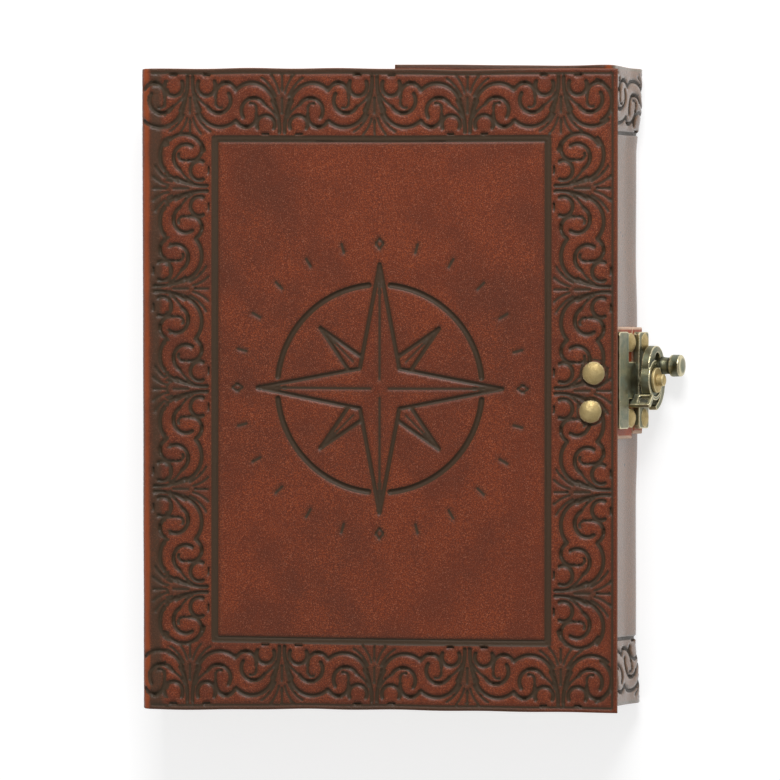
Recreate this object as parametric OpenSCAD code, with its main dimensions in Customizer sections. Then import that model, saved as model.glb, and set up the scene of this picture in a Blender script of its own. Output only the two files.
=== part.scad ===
// Leather notebook. One wrap of thick leather is folded round a sewn text block:
// back cover, slanted fore edge wall and an inner flap that tucks under the front cover.
// A riveted tab of leather hangs from the front cover and carries a hasp, and a
// swing hook on the wall turns its tail through the eye of the hasp.
// Millimetres. X runs to the fore edge, Y to the head and Z up from the back cover.

/* [Covers] */
// Width of the closed notebook, spine to fore edge of the front cover
cover_w = 152; // [130:1:180]
// Height of the covers, tail to head
cover_h = 203; // [170:1:240]
// Thickness of the cover leather
leather_t = 2.5; // [2:0.1:3.5]
// Outer radius of the folds at the foot of the spine and of the wall
fold_r = 4; // [3.6:0.1:6]
// Outer radius of the fold from the wall into the inner flap
flap_fold_r = 3.2; // [2.8:0.1:5]
// Depth of the inner flap, from the top of the wall towards the spine
flap_depth = 68; // [40:1:90]
// How far the top of the wall lies behind the fore edge of the front cover
wall_setback = 3.6; // [2:0.1:6]
// Lean of the fore edge wall, foot outwards
wall_slant = 15; // [5:1:18]
// How far the front cover sits towards the tail, as a hand folded wrap does
cover_skew = 1.4; // [0:0.1:3]

/* [Text block] */
// Thickness of the sewn pages
block_t = 23.4; // [18:0.1:32]
// How much narrower the pages are than the covers
page_margin = 9.8; // [8.5:0.1:30]
// How far the covers stand past the pages at head and tail
page_inset = 3; // [1:0.1:8]
// Number of folded sections
section_count = 6; // [4:1:8]
// How far the middle sheet of a section stands past its outer sheets
creep = 0.8; // [0.2:0.1:1.5]

/* [Sewing] */
// Diameter of the waxed thread
thread_d = 0.8; // [0.6:0.1:1.4]
// Length of one stitch on the outside of the spine
stitch_len = 24; // [12:1:32]
// Number of stitches along each section
stitch_rows = 3; // [2:1:4]
// Distance from one stitch to the next, middle to middle
stitch_pitch = 58; // [40:1:60]

/* [Tooling] */
// Depth of the tooled lines
groove_d = 0.7; // [0.3:0.05:1.2]
// Width of the tooled lines
groove_w = 1.1; // [0.6:0.05:1.6]
// Width of the finest tooled lines
leaf_w = 0.8; // [0.4:0.05:1.1]
// Number of fans along each band of the border
fan_count = 5; // [3:1:5]
// Distance from the cover's edge to the outer tooled line
edge_line = 1.5; // [1.2:0.1:3]
// Width of the ornament band between the outer and the inner lines
band_w = 19.8; // [15:0.1:24]
// Length of the rose's long points
rose_long = 39.5; // [25:0.5:45]
// Length of the rose's short points
rose_short = 27; // [15:0.5:32]
// Distance of the inner corners of the rose from its middle
rose_waist = 9; // [6:0.5:12]
// Radius of the ring round the rose
rose_ring = 33; // [20:0.5:40]
// Radius at which the hour marks round the rose stand
rose_tick = 46; // [42:0.5:50]

/* [Clasp] */
// Distance of the clasp's middle from the middle of the front cover
clasp_offset = 3.3; // [-20:0.1:20]
// Thickness of the tab and patch leather
tab_t = 2.1; // [1.6:0.1:2.4]
// Height of the leather tab, along the fore edge
tab_h = 34; // [33:0.5:44]
// How far the tab reaches down the wall
tab_drop = 16.2; // [16.2:0.1:16.8]
// Length of the tab's leg under the front cover
tab_leg = 12; // [10:0.5:20]
// Outer radius of the bend in the tab
tab_bend_r = 3; // [2.6:0.1:4]
// Height of the metal plates, along the fore edge
plate_h = 30.8; // [30:0.2:33]
// Thickness of the hasp plate
hasp_t = 1.6; // [1.2:0.1:1.8]
// Thickness of the ears of the hasp plate
ear_t = 0.8; // [0.6:0.1:1]
// Half the height of the hasp's tongue
tongue_half = 5.9; // [5:0.1:6.4]
// Thickness of the lock plate
lock_t = 2.2; // [1.6:0.1:2.4]
// Width of the lock plate, down the wall
lock_w = 8.6; // [8:0.1:9.4]
// Radius of the rivet heads
rivet_r = 3.2; // [2.6:0.1:3.3]
// Radius of the rivet shanks
shank_r = 1.3; // [1:0.1:1.5]
// Distance of the plate rivets from the clasp's middle
rivet_y = 12; // [11.8:0.1:12.2]

/* [Swing hook] */
// Radius of the hook's hub
hub_r = 6.4; // [5:0.1:6.4]
// Middle radius of the hook's tail and of the eye
arm_r = 9; // [9:0.05:9.2]
// Width of the tail at its root
arm_w = 3; // [2.4:0.1:3]
// Width of the tail at its tip
tail_w = 1.7; // [1.2:0.1:2]
// Radius of the crown, the upper part of the hook that carries the knob
crown_r = 7.4; // [6.8:0.1:7.6]
// Radius of the round opening in the crown
crown_hole_r = 2.5; // [1.5:0.1:2.6]
// Thickness of the hook
hook_t = 2.6; // [2:0.1:2.8]
// Radius of the pivot rivet
pin_r = 1.6; // [1.2:0.1:1.9]
// Angle at which the tail ends, measured from straight down the wall
tail_end = -75; // [-76:1:-65]
// Radius of the knob's head
knob_r = 3.5; // [2.6:0.1:3.6]
// Thickness of the knob's head
knob_h = 3.2; // [2.6:0.1:6]
// Length of the knob's neck
knob_neck_h = 4; // [2:0.1:5]

/* [Hidden] */
$fn = 64;

// Clearances
clear = 0.2;         // between leather that lies on leather
run_fit = 0.05;      // round a shank, pin or thread in its hole
axial = 0.15;        // above and below the hook on its pivot
eye_wall = 0.75;     // metal between the hub's clearance and the eye
eye_gap = 0.35;      // between the hub and the eye lug
plate_gap = 0.4;     // between the hasp side and the lock side, down the wall
cut = 1;             // how far a cutting shape runs past the face that it cuts

// Rounding of corners
plate_corner = 1.2;
patch_corner = 1;
lug_corner = 0.5;
eye_corner = 0.4;
knob_corner = 0.9;

// Heights of the folded leather
block_z = leather_t;
page_w = cover_w - page_margin;
flap_z = block_z + block_t + clear;
flap_top = flap_z + leather_t;
spine_x = -cover_w / 2;
hinge_x = spine_x + leather_t / 2;
hinge_z = block_z + block_t + clear + leather_t / 2;
spine_top = hinge_z - leather_t / 2 - clear;

// The wall's outer face runs from its top corner down and outwards
wall_x = cover_w / 2 - wall_setback;
foot_x = wall_x + flap_top * tan(wall_slant);
wall_len = flap_top / cos(wall_slant);
foot_turn = 90 + wall_slant;
foot_tangent = fold_r * tan(foot_turn / 2);
flap_turn = 90 - wall_slant;
flap_tangent = flap_fold_r * tan(flap_turn / 2);
flap_end_x = wall_x - flap_depth;

// The front cover slopes so that it clears the tab's leg and the end of the flap
leg_end_u = wall_x - hinge_x - tab_leg;
rise_leg = flap_top + clear + tab_t + leather_t / 2 - hinge_z;
rise_flap = flap_top + clear + leather_t / 2 - hinge_z;
slope = max(atan(rise_leg / leg_end_u), atan(rise_flap / (flap_end_x - hinge_x)));
cover_len = (cover_w / 2 - hinge_x) / cos(slope);
cover_mid = -hinge_x / cos(slope);
cover_y = -cover_skew;
clasp_y = cover_y + clasp_offset;

// Heights of small parts of the clasp
boss_rise = 1.3;
washer_t = 1;
hasp_dome = 1.4;
cover_dome = 1.3;
lock_dome = 1;
pin_end_h = 2.6;
pin_dome = 0.6;

// Clasp heights above the wall's outer face
tab_low = 0.15;
tab_top = tab_low + tab_t;
hasp_top = tab_top + hasp_t;
ear_top = tab_top + ear_t;
patch_t = tab_top + tab_low;
lock_top = patch_t + lock_t;
boss_top = lock_top + boss_rise;
hook_low = boss_top + axial;
hook_top = hook_low + hook_t;
washer_low = hook_top + axial;
washer_top = washer_low + washer_t;

// Clasp places down the wall
bar_start = 0.8;
bar_end = 9.2;
hasp_rivet_s = tab_drop - rivet_r;
tongue_end = tab_drop - plate_gap;
lock_start = tab_drop + plate_gap;
boss_r = pin_r + 1.3;
pivot_s = lock_start + boss_r + 0.1;
lock_rivet_s = lock_start + lock_w / 2 + 0.4;
ear_half = rivet_r - 0.2;
clinch_r = shank_r + 0.8;
clinch_t = 0.6;

// Tooled lines of the frame and the rose
frame_w = groove_w * 1.3;
ridge_w = groove_w * 0.7;
short_gap = 3;      // from the rose's inner corners out to its short points
short_half = 14;    // half the angle at a short point's foot
ring_gap = 6;       // angle between the ring and the middle of a long point
tick_half = 1.5;

// Cover rivets, from the clasp's middle and from the cover's fore edge
cover_rivet_at = [[7.4, 2.3], [8.4, -9.8]];

// The eye stands on the tail's circle, on the hasp side of the pivot
eye_angle = -134;
eye_half = arm_r - hub_r - eye_gap - eye_wall;
eye_t = 1.4;
eye_low = hook_low - 0.4;
eye_high = hook_top + 0.4;
lug_top = eye_high + 1;
lug_out = arm_r + eye_half + 0.9;

// Hook details, from the pivot: x down the wall and y towards the head
crown_at = [2.2, 3.6];
crown_hole_at = [2.8, 6.3];
knob_at = [6.8, 4.6];
rim_in = 5.2;
rim_h = 0.5;
washer_r = 4;
knob_neck_r = 1.6;
tenon_r = 1.1;

// Plan position of a point at radius r and angle a
function polar(r, a) = [r * cos(a), r * sin(a)];

// Points of an arc about c, used for the folds of the leather
function arc_points(c, r, a0, a1, steps = 12) =
    [for (i = [0:steps]) c + polar(r, a0 + (a1 - a0) * i / steps)];

// Rectangle with round corners, from exact arcs
module soft_rect(x0, x1, y0, y1, r) {
    translate([x0 + r, y0]) square([x1 - x0 - 2 * r, y1 - y0]);
    translate([x0, y0 + r]) square([x1 - x0, y1 - y0 - 2 * r]);
    for (x = [x0 + r, x1 - r], y = [y0 + r, y1 - r]) translate([x, y]) circle(r);
}

// Extrudes a section drawn in X and Z along Y
module along_y(length) {
    rotate([90, 0, 0]) linear_extrude(height = length, center = true) children();
}

// Frame of the front cover: x along the cover from its hinge, z up from its middle
module cover_frame() {
    translate([hinge_x, cover_y, hinge_z]) rotate([0, -slope, 0]) children();
}

// Frame of the wall: x down the wall from its top, z out of its outer face
module wall_frame() {
    translate([wall_x, clasp_y, flap_top]) rotate([0, 90 - wall_slant, 0]) children();
}

// Domed head standing on z = 0
module dome(r, h) {
    ball = (r * r + h * h) / (2 * h);
    intersection() {
        cylinder(r = r, h = h);
        translate([0, 0, h - ball]) sphere(ball);
    }
}

// Straight tooled line between two points, as a bar to cut with
module line_cut(p, q, w) {
    d = q - p;
    translate([p[0], p[1], -groove_d]) rotate([0, 0, atan2(d[1], d[0])])
        translate([0, -w / 2, 0]) cube([norm(d), w, groove_d + cut]);
}

// Tooled arc about a point, as a bent bar to cut with
module arc_cut(r, w, a0, a1) {
    rotate([0, 0, a0]) rotate_extrude(angle = a1 - a0)
        translate([r - w / 2, -groove_d]) square([w, groove_d + cut]);
}

// Rectangle of tooled lines
module frame_cut(x0, x1, y0, y1, w) {
    difference() {
        translate([x0 - w / 2, y0 - w / 2, -groove_d])
            cube([x1 - x0 + w, y1 - y0 + w, groove_d + cut]);
        translate([x0 + w / 2, y0 + w / 2, -groove_d - cut])
            cube([x1 - x0 - w, y1 - y0 - w, groove_d + 3 * cut]);
    }
}

// One point of the rose along +X: two edges and the ridge between them
module rose_point(tip, waist, half) {
    corner = polar(waist, half);
    line_cut([tip, 0], corner, groove_w);
    line_cut([tip, 0], [corner[0], -corner[1]], groove_w);
    line_cut([waist / 3, 0], [tip, 0], ridge_w);
}

// Wind rose with eight points, a ring broken by the long points, and marks around it
module rose_cut() {
    for (a = [0:90:270]) rotate([0, 0, a]) rose_point(rose_long, rose_waist, 45);
    for (a = [45:90:315]) rotate([0, 0, a]) {
        for (side = [-1, 1])
            line_cut(polar(rose_waist + short_gap, side * short_half), [rose_short, 0], groove_w);
    }
    for (a = [0:90:270]) arc_cut(rose_ring, frame_w, a + ring_gap, a + 90 - ring_gap);
    for (a = [15:15:75], q = [0:90:270]) rotate([0, 0, a + q])
        line_cut([rose_tick - tick_half, 0], [rose_tick + tick_half, 0], groove_w);
}

// Half of one unit of the scroll border, with the fan's axis at x = 0 and the band's
// middle at y = 0: the outer arch and its stem, the inner arch and its stem, the curl
// with its hook, the bud with its mark, and two leaves of the fan
module scroll_half() {
    translate([9.8, -0.6, 0]) arc_cut(7.4, groove_w, 47, 165);
    translate([18.7, -7.6, 0]) arc_cut(17.9, groove_w, 152, 182);
    translate([9.2, -1.6, 0]) arc_cut(4, groove_w, -32, 148);
    translate([10.9, -8.6, 0]) arc_cut(10.3, leaf_w, 122, 152);
    translate([11.7, -3.4, 0]) arc_cut(3.4, groove_w, 182, 325);
    line_cut([8.3, -3], [8.35, -0.6], leaf_w);
    translate([5.3, -6, 0]) arc_cut(2.9, groove_w, -20, 200);
    line_cut([4.5, -8.8], [6.5, -8.8], leaf_w);
    translate([12.5, -1.5, 0]) arc_cut(11.36, leaf_w, 121, 156);
    translate([12.2, 1.2, 0]) arc_cut(11.6, leaf_w, 138, 165);
}

module scroll_unit() {
    scroll_half();
    mirror([1, 0, 0]) scroll_half();
    line_cut([0, -2.5], [0, 2.4], leaf_w);
    line_cut([0, 4.6], [0, 8.8], leaf_w);
}

// A band of fans that point up and down by turns, along X about its middle
module scroll_band(length) {
    pitch = length / fan_count;
    for (i = [0:fan_count - 1]) translate([(i - (fan_count - 1) / 2) * pitch, 0, 0])
        rotate([0, 0, i % 2 == 0 ? 180 : 0]) scroll_unit();
}

// The border round a cover panel
module border_cut(width, height) {
    y_band = height / 2 - edge_line - band_w / 2;
    x_band = width / 2 - edge_line - band_w / 2;
    for (side = [0, 180]) rotate([0, 0, side]) {
        translate([0, y_band, 0]) scroll_band(width - 2 * edge_line);
        translate([x_band, 0, 0]) rotate([0, 0, 90])
            scroll_band(height - 2 * edge_line - 2 * band_w);
    }
}

// Tooled lines of a cover panel, drawn about its middle
module panel_cut(width, height) {
    x_out = width / 2 - edge_line;
    y_out = height / 2 - edge_line;
    frame_cut(-x_out, x_out, -y_out, y_out, groove_w);
    frame_cut(-x_out + band_w, x_out - band_w, -y_out + band_w, y_out - band_w, frame_w);
}

// Section of the wrap in X and Z: outer faces from the spine round to the flap, and back inside
spine_fold = [spine_x + fold_r, fold_r];
foot_fold = [foot_x - foot_tangent, fold_r];
flap_fold = [wall_x - flap_tangent, flap_top - flap_fold_r];

module wrap_section() {
    polygon(concat(
        [[spine_x, spine_top]],
        arc_points(spine_fold, fold_r, 180, 270),
        arc_points(foot_fold, fold_r, -90, wall_slant),
        arc_points(flap_fold, flap_fold_r, wall_slant, 90),
        [[flap_end_x, flap_top], [flap_end_x, flap_z]],
        arc_points(flap_fold, flap_fold_r - leather_t, 90, wall_slant),
        arc_points(foot_fold, fold_r - leather_t, wall_slant, -90),
        arc_points(spine_fold, fold_r - leather_t, 270, 180),
        [[spine_x + leather_t, spine_top]]));
}

// Where the stitches lie: heights of the sections and middles along the spine
section_t = block_t / section_count;
section_zs = [for (i = [0:section_count - 1]) block_z + section_t * (i + 0.5)];
stitch_ys = [for (i = [0:stitch_rows - 1]) (i - (stitch_rows - 1) / 2) * stitch_pitch];

module thread_holes() {
    for (z = section_zs, y = stitch_ys, side = [-1, 1])
        translate([spine_x - cut, y + side * (stitch_len - thread_d) / 2, z]) rotate([0, 90, 0])
            cylinder(r = thread_d / 2 + run_fit, h = leather_t + 2 * cut);
}

module cover_wrap() {
    color("saddlebrown") difference() {
        along_y(cover_h) wrap_section();
        thread_holes();
        mirror([0, 0, 1]) panel_cut(cover_w - 2 * fold_r, cover_h);
        wall_lines();
        wall_frame() {
            for (y = [-rivet_y, rivet_y]) translate([lock_rivet_s, y, -leather_t - cut])
                cylinder(r = shank_r + run_fit, h = leather_t + 2 * cut);
            translate([pivot_s, 0, -leather_t - cut])
                cylinder(r = pin_r + run_fit, h = leather_t + 2 * cut);
        }
    }
}

// Tooled lines across the wall, which carry on the lines of the border bands
module wall_lines() {
    y_in = cover_h / 2 - edge_line - band_w;
    for (side = [-1, 1]) translate([wall_x, side * y_in, flap_top]) rotate([0, 90 - wall_slant, 0])
        line_cut([flap_tangent, 0], [wall_len - foot_tangent, 0], frame_w);
}

module front_cover() {
    color("sienna") cover_frame() difference() {
        along_y(cover_h) {
            circle(leather_t / 2);
            translate([0, -leather_t / 2]) square([cover_len, leather_t]);
        }
        translate([cover_mid, 0, leather_t / 2]) {
            panel_cut(cover_w, cover_h);
            border_cut(cover_w, cover_h);
            rose_cut();
        }
        cover_rivet_places() cylinder(r = shank_r + run_fit, h = leather_t + 2 * cut, center = true);
    }
}

// Puts its child at each cover rivet, in the frame of the front cover
module cover_rivet_places() {
    for (p = cover_rivet_at) translate([cover_len - p[0], clasp_offset + p[1], 0]) children();
}

// Sewn sections with round backs at the spine and pointed fore edges
module block_section() {
    back_r = section_t / 2;
    x0 = spine_x + leather_t + clear;
    x1 = x0 + page_w;
    translate([x0 + back_r, block_z]) square([page_w - back_r - creep, block_t]);
    for (z = section_zs) translate([x0 + back_r, z]) circle(back_r);
    for (z = section_zs)
        polygon([[x1 - creep, z - back_r], [x1, z], [x1 - creep, z + back_r]]);
}

module text_block() {
    color("antiquewhite") along_y(cover_h - 2 * page_inset) block_section();
}

// One stitch: a run outside the spine and two legs through it into the fold of a section
module stitch() {
    half = (stitch_len - thread_d) / 2;
    x_run = spine_x - thread_d / 2;
    leg = leather_t + thread_d / 2 + clear / 2;
    translate([x_run, 0, 0]) rotate([90, 0, 0]) cylinder(d = thread_d, h = 2 * half, center = true);
    for (side = [-1, 1]) translate([x_run, side * half, 0]) {
        sphere(d = thread_d);
        rotate([0, 90, 0]) cylinder(d = thread_d, h = leg);
    }
}

module spine_stitches() {
    color("tan") for (z = section_zs, y = stitch_ys) translate([0, y, z]) stitch();
}

// The tab's bend: where the lines of its outer face down the wall and of its top face
// under the cover meet, as a distance down the wall, and the middle of the bend
lean = wall_slant - slope;
tab_dx = wall_x - hinge_x;
tab_dz = flap_top - hinge_z;
corner_s = (leather_t / 2 - tab_dx * sin(slope) + tab_dz * cos(slope) + tab_top * sin(lean)) / cos(lean);
tab_turn = 90 - lean;
tab_tangent = tab_bend_r * tan(tab_turn / 2);
bend_mid = on_wall(corner_s + tab_tangent, tab_top - tab_bend_r);
leg_out = bend_mid + polar(tab_bend_r, 90 + slope) - polar(tab_leg, slope);
leg_in = leg_out - polar(tab_t, 90 + slope);

// Point of the X and Z plane that lies s down the wall and h out from it
function on_wall(s, h) = [wall_x + s * sin(wall_slant) + h * cos(wall_slant),
                          flap_top - s * cos(wall_slant) + h * sin(wall_slant)];

module tab_section() {
    polygon(concat(
        [on_wall(tab_drop, tab_low), on_wall(tab_drop, tab_top)],
        arc_points(bend_mid, tab_bend_r, wall_slant, 90 + slope),
        [leg_out, leg_in],
        arc_points(bend_mid, tab_bend_r - tab_t, 90 + slope, wall_slant)));
}

module clasp_tab() {
    color("peru") difference() {
        translate([0, clasp_y, 0]) along_y(tab_h) tab_section();
        wall_frame() for (y = [-rivet_y, rivet_y]) translate([hasp_rivet_s, y, tab_low - cut])
            cylinder(r = shank_r + run_fit, h = tab_t + 2 * cut);
        cover_frame() cover_rivet_places() translate([0, 0, -leather_t / 2 - tab_t - cut])
            cylinder(r = shank_r + run_fit, h = tab_t + 2 * cut);
    }
}

// Outline of the hasp: a bar and a tongue, drawn down the wall
module hasp_outline() {
    soft_rect(bar_start, bar_end, -plate_h / 2, plate_h / 2, plate_corner);
    soft_rect(bar_start, tongue_end, -tongue_half, tongue_half, plate_corner);
}

// Ears that hold the rivets, with round ends
module ear_outline() {
    for (side = [-1, 1]) {
        translate([hasp_rivet_s, side * rivet_y]) circle(ear_half);
        translate([bar_end - 1, side * rivet_y - ear_half]) square([hasp_rivet_s - bar_end + 1, 2 * ear_half]);
    }
}

// Upright lug with the eye, standing across the circle on which the tail swings
module eye_lug() {
    inner = hub_r + eye_gap;
    translate([pivot_s, 0, 0]) rotate([0, 0, eye_angle]) rotate([90, 0, 0])
        linear_extrude(height = eye_t, center = true) difference() {
            soft_rect(inner, lug_out, tab_top, lug_top, lug_corner);
            soft_rect(arm_r - eye_half, arm_r + eye_half, eye_low, eye_high, eye_corner);
        }
}

module hasp_plate() {
    color("darkolivegreen") wall_frame() difference() {
        union() {
            translate([0, 0, tab_top]) linear_extrude(height = hasp_t) hasp_outline();
            translate([0, 0, tab_top]) linear_extrude(height = ear_t) ear_outline();
            eye_lug();
        }
        for (y = [-rivet_y, rivet_y]) translate([hasp_rivet_s, y, tab_top - cut])
            cylinder(r = shank_r + run_fit, h = hasp_t + 2 * cut);
    }
}

// Rivet with a domed head at z = 0 and a clinched end at -grip
module rivet(grip, head_h, clinch) {
    dome(rivet_r, head_h);
    translate([0, 0, -grip]) cylinder(r = shank_r, h = grip + head_h / 2);
    if (clinch) translate([0, 0, -grip - clinch_t]) cylinder(r = clinch_r, h = clinch_t);
}

module hasp_rivets() {
    color("goldenrod") wall_frame() for (y = [-rivet_y, rivet_y])
        translate([hasp_rivet_s, y, ear_top]) rivet(ear_t + tab_t, hasp_dome, false);
}

module cover_rivets() {
    color("goldenrod") cover_frame() cover_rivet_places()
        translate([0, 0, leather_t / 2]) rivet(leather_t + tab_t, cover_dome, false);
}

module catch_patch() {
    color("peru") wall_frame() difference() {
        linear_extrude(height = patch_t)
            soft_rect(lock_start, lock_start + lock_w, -tab_h / 2, tab_h / 2, patch_corner);
        for (y = [-rivet_y, rivet_y]) translate([lock_rivet_s, y, -cut])
            cylinder(r = shank_r + run_fit, h = patch_t + 2 * cut);
        translate([pivot_s, 0, -cut]) cylinder(r = pin_r + run_fit, h = patch_t + 2 * cut);
    }
}

module lock_plate() {
    color("darkolivegreen") wall_frame() difference() {
        union() {
            translate([0, 0, patch_t]) linear_extrude(height = lock_t)
                soft_rect(lock_start, lock_start + lock_w, -plate_h / 2, plate_h / 2, plate_corner);
            translate([pivot_s, 0, patch_t]) cylinder(r = boss_r, h = boss_top - patch_t);
        }
        for (y = [-rivet_y, rivet_y]) translate([lock_rivet_s, y, patch_t - cut])
            cylinder(r = shank_r + run_fit, h = lock_t + 2 * cut);
        translate([pivot_s, 0, patch_t - cut])
            cylinder(r = pin_r + run_fit, h = boss_top - patch_t + 2 * cut);
    }
}

module lock_rivets() {
    color("goldenrod") wall_frame() for (y = [-rivet_y, rivet_y])
        translate([lock_rivet_s, y, lock_top]) rivet(lock_t + patch_t + leather_t, lock_dome, true);
}

module pivot_rivet() {
    end_r = pin_r + 0.3;
    color("gold") wall_frame() translate([pivot_s, 0, 0]) {
        translate([0, 0, -leather_t]) cylinder(r = pin_r, h = leather_t + washer_top);
        translate([0, 0, -leather_t - clinch_t]) cylinder(r = clinch_r + 0.4, h = clinch_t);
        translate([0, 0, washer_top]) cylinder(r = end_r, h = pin_end_h - pin_dome);
        translate([0, 0, washer_top + pin_end_h - pin_dome]) dome(end_r, pin_dome);
    }
}

module pivot_washer() {
    color("tan") wall_frame() translate([pivot_s, 0, washer_low]) difference() {
        cylinder(r = washer_r, h = washer_top - washer_low);
        translate([0, 0, -cut]) cylinder(r = pin_r + run_fit, h = washer_t + 2 * cut);
    }
}

// Flat form of the hook about its pivot: round hub, crown with its opening and a tail
// that thins towards its round tip
module hook_outline() {
    difference() {
        union() {
            circle(hub_r);
            translate(crown_at) circle(crown_r);
        }
        translate(crown_hole_at) circle(crown_hole_r);
    }
    intersection() {
        difference() {
            circle(arm_r + tail_w / 2);
            translate(polar(tail_w - arm_w, tail_end + 90)) circle(arm_r - tail_w / 2);
        }
        polygon([[0, 0], polar(30, tail_end), polar(30, -30), polar(30, 15)]);
    }
    translate(polar(arm_r, tail_end)) circle(tail_w / 2);
}

module swing_hook() {
    color("darkslategray") wall_frame() translate([pivot_s, 0, hook_low]) difference() {
        union() {
            linear_extrude(height = hook_t) hook_outline();
            difference() {
                cylinder(r = hub_r, h = hook_t + rim_h);
                translate([0, 0, hook_t]) cylinder(r = rim_in, h = rim_h + cut);
                translate(concat(crown_hole_at, hook_t - cut)) cylinder(r = crown_hole_r, h = rim_h + 2 * cut);
            }
        }
        translate([0, 0, -cut]) cylinder(r = pin_r + run_fit, h = hook_t + 2 * cut);
        translate(concat(knob_at, -cut)) cylinder(r = tenon_r + run_fit, h = hook_t + 2 * cut);
    }
}

// Turned knob: a tenon through the hook, a neck and a round cornered head
module hook_knob() {
    color("goldenrod") wall_frame() translate([pivot_s, 0, hook_low]) translate(concat(knob_at, 0)) {
        cylinder(r = tenon_r, h = hook_t);
        translate([0, 0, hook_t]) cylinder(r = knob_neck_r, h = knob_neck_h);
        translate([0, 0, hook_t + knob_neck_h]) rotate_extrude() intersection() {
            soft_rect(-knob_r, knob_r, 0, knob_h, knob_corner);
            square([knob_r, knob_h]);
        }
    }
}

cover_wrap();
front_cover();
text_block();
spine_stitches();
clasp_tab();
hasp_plate();
hasp_rivets();
cover_rivets();
catch_patch();
lock_plate();
lock_rivets();
pivot_rivet();
pivot_washer();
swing_hook();
hook_knob();
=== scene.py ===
"""Looks of the leather notebook: tooled covers, sewn pages and a swing hook clasp.

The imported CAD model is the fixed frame. The leather, paper and thread are rebuilt here as
detailed meshes that stand for their CAD nodes, and the clasp is recast from its CAD nodes
with soft, worn edges. Lengths are millimetres until a mesh is written in metres.
"""

import logging
import math
from dataclasses import dataclass, field
from enum import Enum
from typing import Callable, Optional, Sequence, Union

import bpy
import numpy as np
from mathutils import Matrix, Vector, geometry, kdtree

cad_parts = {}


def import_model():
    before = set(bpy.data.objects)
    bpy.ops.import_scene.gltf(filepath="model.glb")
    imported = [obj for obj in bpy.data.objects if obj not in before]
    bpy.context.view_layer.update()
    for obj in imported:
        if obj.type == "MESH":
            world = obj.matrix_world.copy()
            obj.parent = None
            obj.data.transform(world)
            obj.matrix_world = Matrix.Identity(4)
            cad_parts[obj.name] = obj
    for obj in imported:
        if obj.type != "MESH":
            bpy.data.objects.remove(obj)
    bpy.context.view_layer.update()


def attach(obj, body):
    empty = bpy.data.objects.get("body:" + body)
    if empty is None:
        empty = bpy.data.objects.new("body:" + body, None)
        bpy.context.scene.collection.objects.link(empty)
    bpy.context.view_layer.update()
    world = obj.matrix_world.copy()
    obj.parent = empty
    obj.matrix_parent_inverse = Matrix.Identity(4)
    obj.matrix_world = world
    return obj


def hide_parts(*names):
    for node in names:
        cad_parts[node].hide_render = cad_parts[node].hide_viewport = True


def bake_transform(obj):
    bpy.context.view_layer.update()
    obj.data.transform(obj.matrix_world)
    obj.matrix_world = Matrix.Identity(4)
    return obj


LOG = logging.getLogger("notebook")
MM = 0.001
Number = Union[int, float]
Array = np.ndarray


# Shader maths


class Shade:
    """A node socket on which arithmetic adds Math nodes."""

    def __init__(self, kit: "MaterialKit", socket: bpy.types.NodeSocket) -> None:
        self.kit = kit
        self.socket = socket

    def _op(self, operation: str, *values: Union["Shade", Number]) -> "Shade":
        """Add a Math node that applies an operation to the values."""
        return self.kit.node("ShaderNodeMath", {"operation": operation}, dict(enumerate(values)))

    def __add__(self, other: Union["Shade", Number]) -> "Shade":
        """Sum."""
        return self._op("ADD", self, other)

    def __radd__(self, other: Number) -> "Shade":
        """Sum with a number on the left."""
        return self._op("ADD", other, self)

    def __sub__(self, other: Union["Shade", Number]) -> "Shade":
        """Difference."""
        return self._op("SUBTRACT", self, other)

    def __rsub__(self, other: Number) -> "Shade":
        """Difference with a number on the left."""
        return self._op("SUBTRACT", other, self)

    def __mul__(self, other: Union["Shade", Number]) -> "Shade":
        """Product."""
        return self._op("MULTIPLY", self, other)

    def __rmul__(self, other: Number) -> "Shade":
        """Product with a number on the left."""
        return self._op("MULTIPLY", other, self)

    def top(self, other: Union["Shade", Number]) -> "Shade":
        """The larger of two values."""
        return self._op("MAXIMUM", self, other)

    def step(self, low: float, high: float) -> "Shade":
        """A smooth step from 0 at low to 1 at high."""
        return self.kit.node(
            "ShaderNodeMapRange",
            {"interpolation_type": "SMOOTHSTEP"},
            {"Value": self, "From Min": low, "From Max": high, "To Min": 0.0, "To Max": 1.0},
        )


Value = Union[Shade, Number, Sequence[float]]


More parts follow.
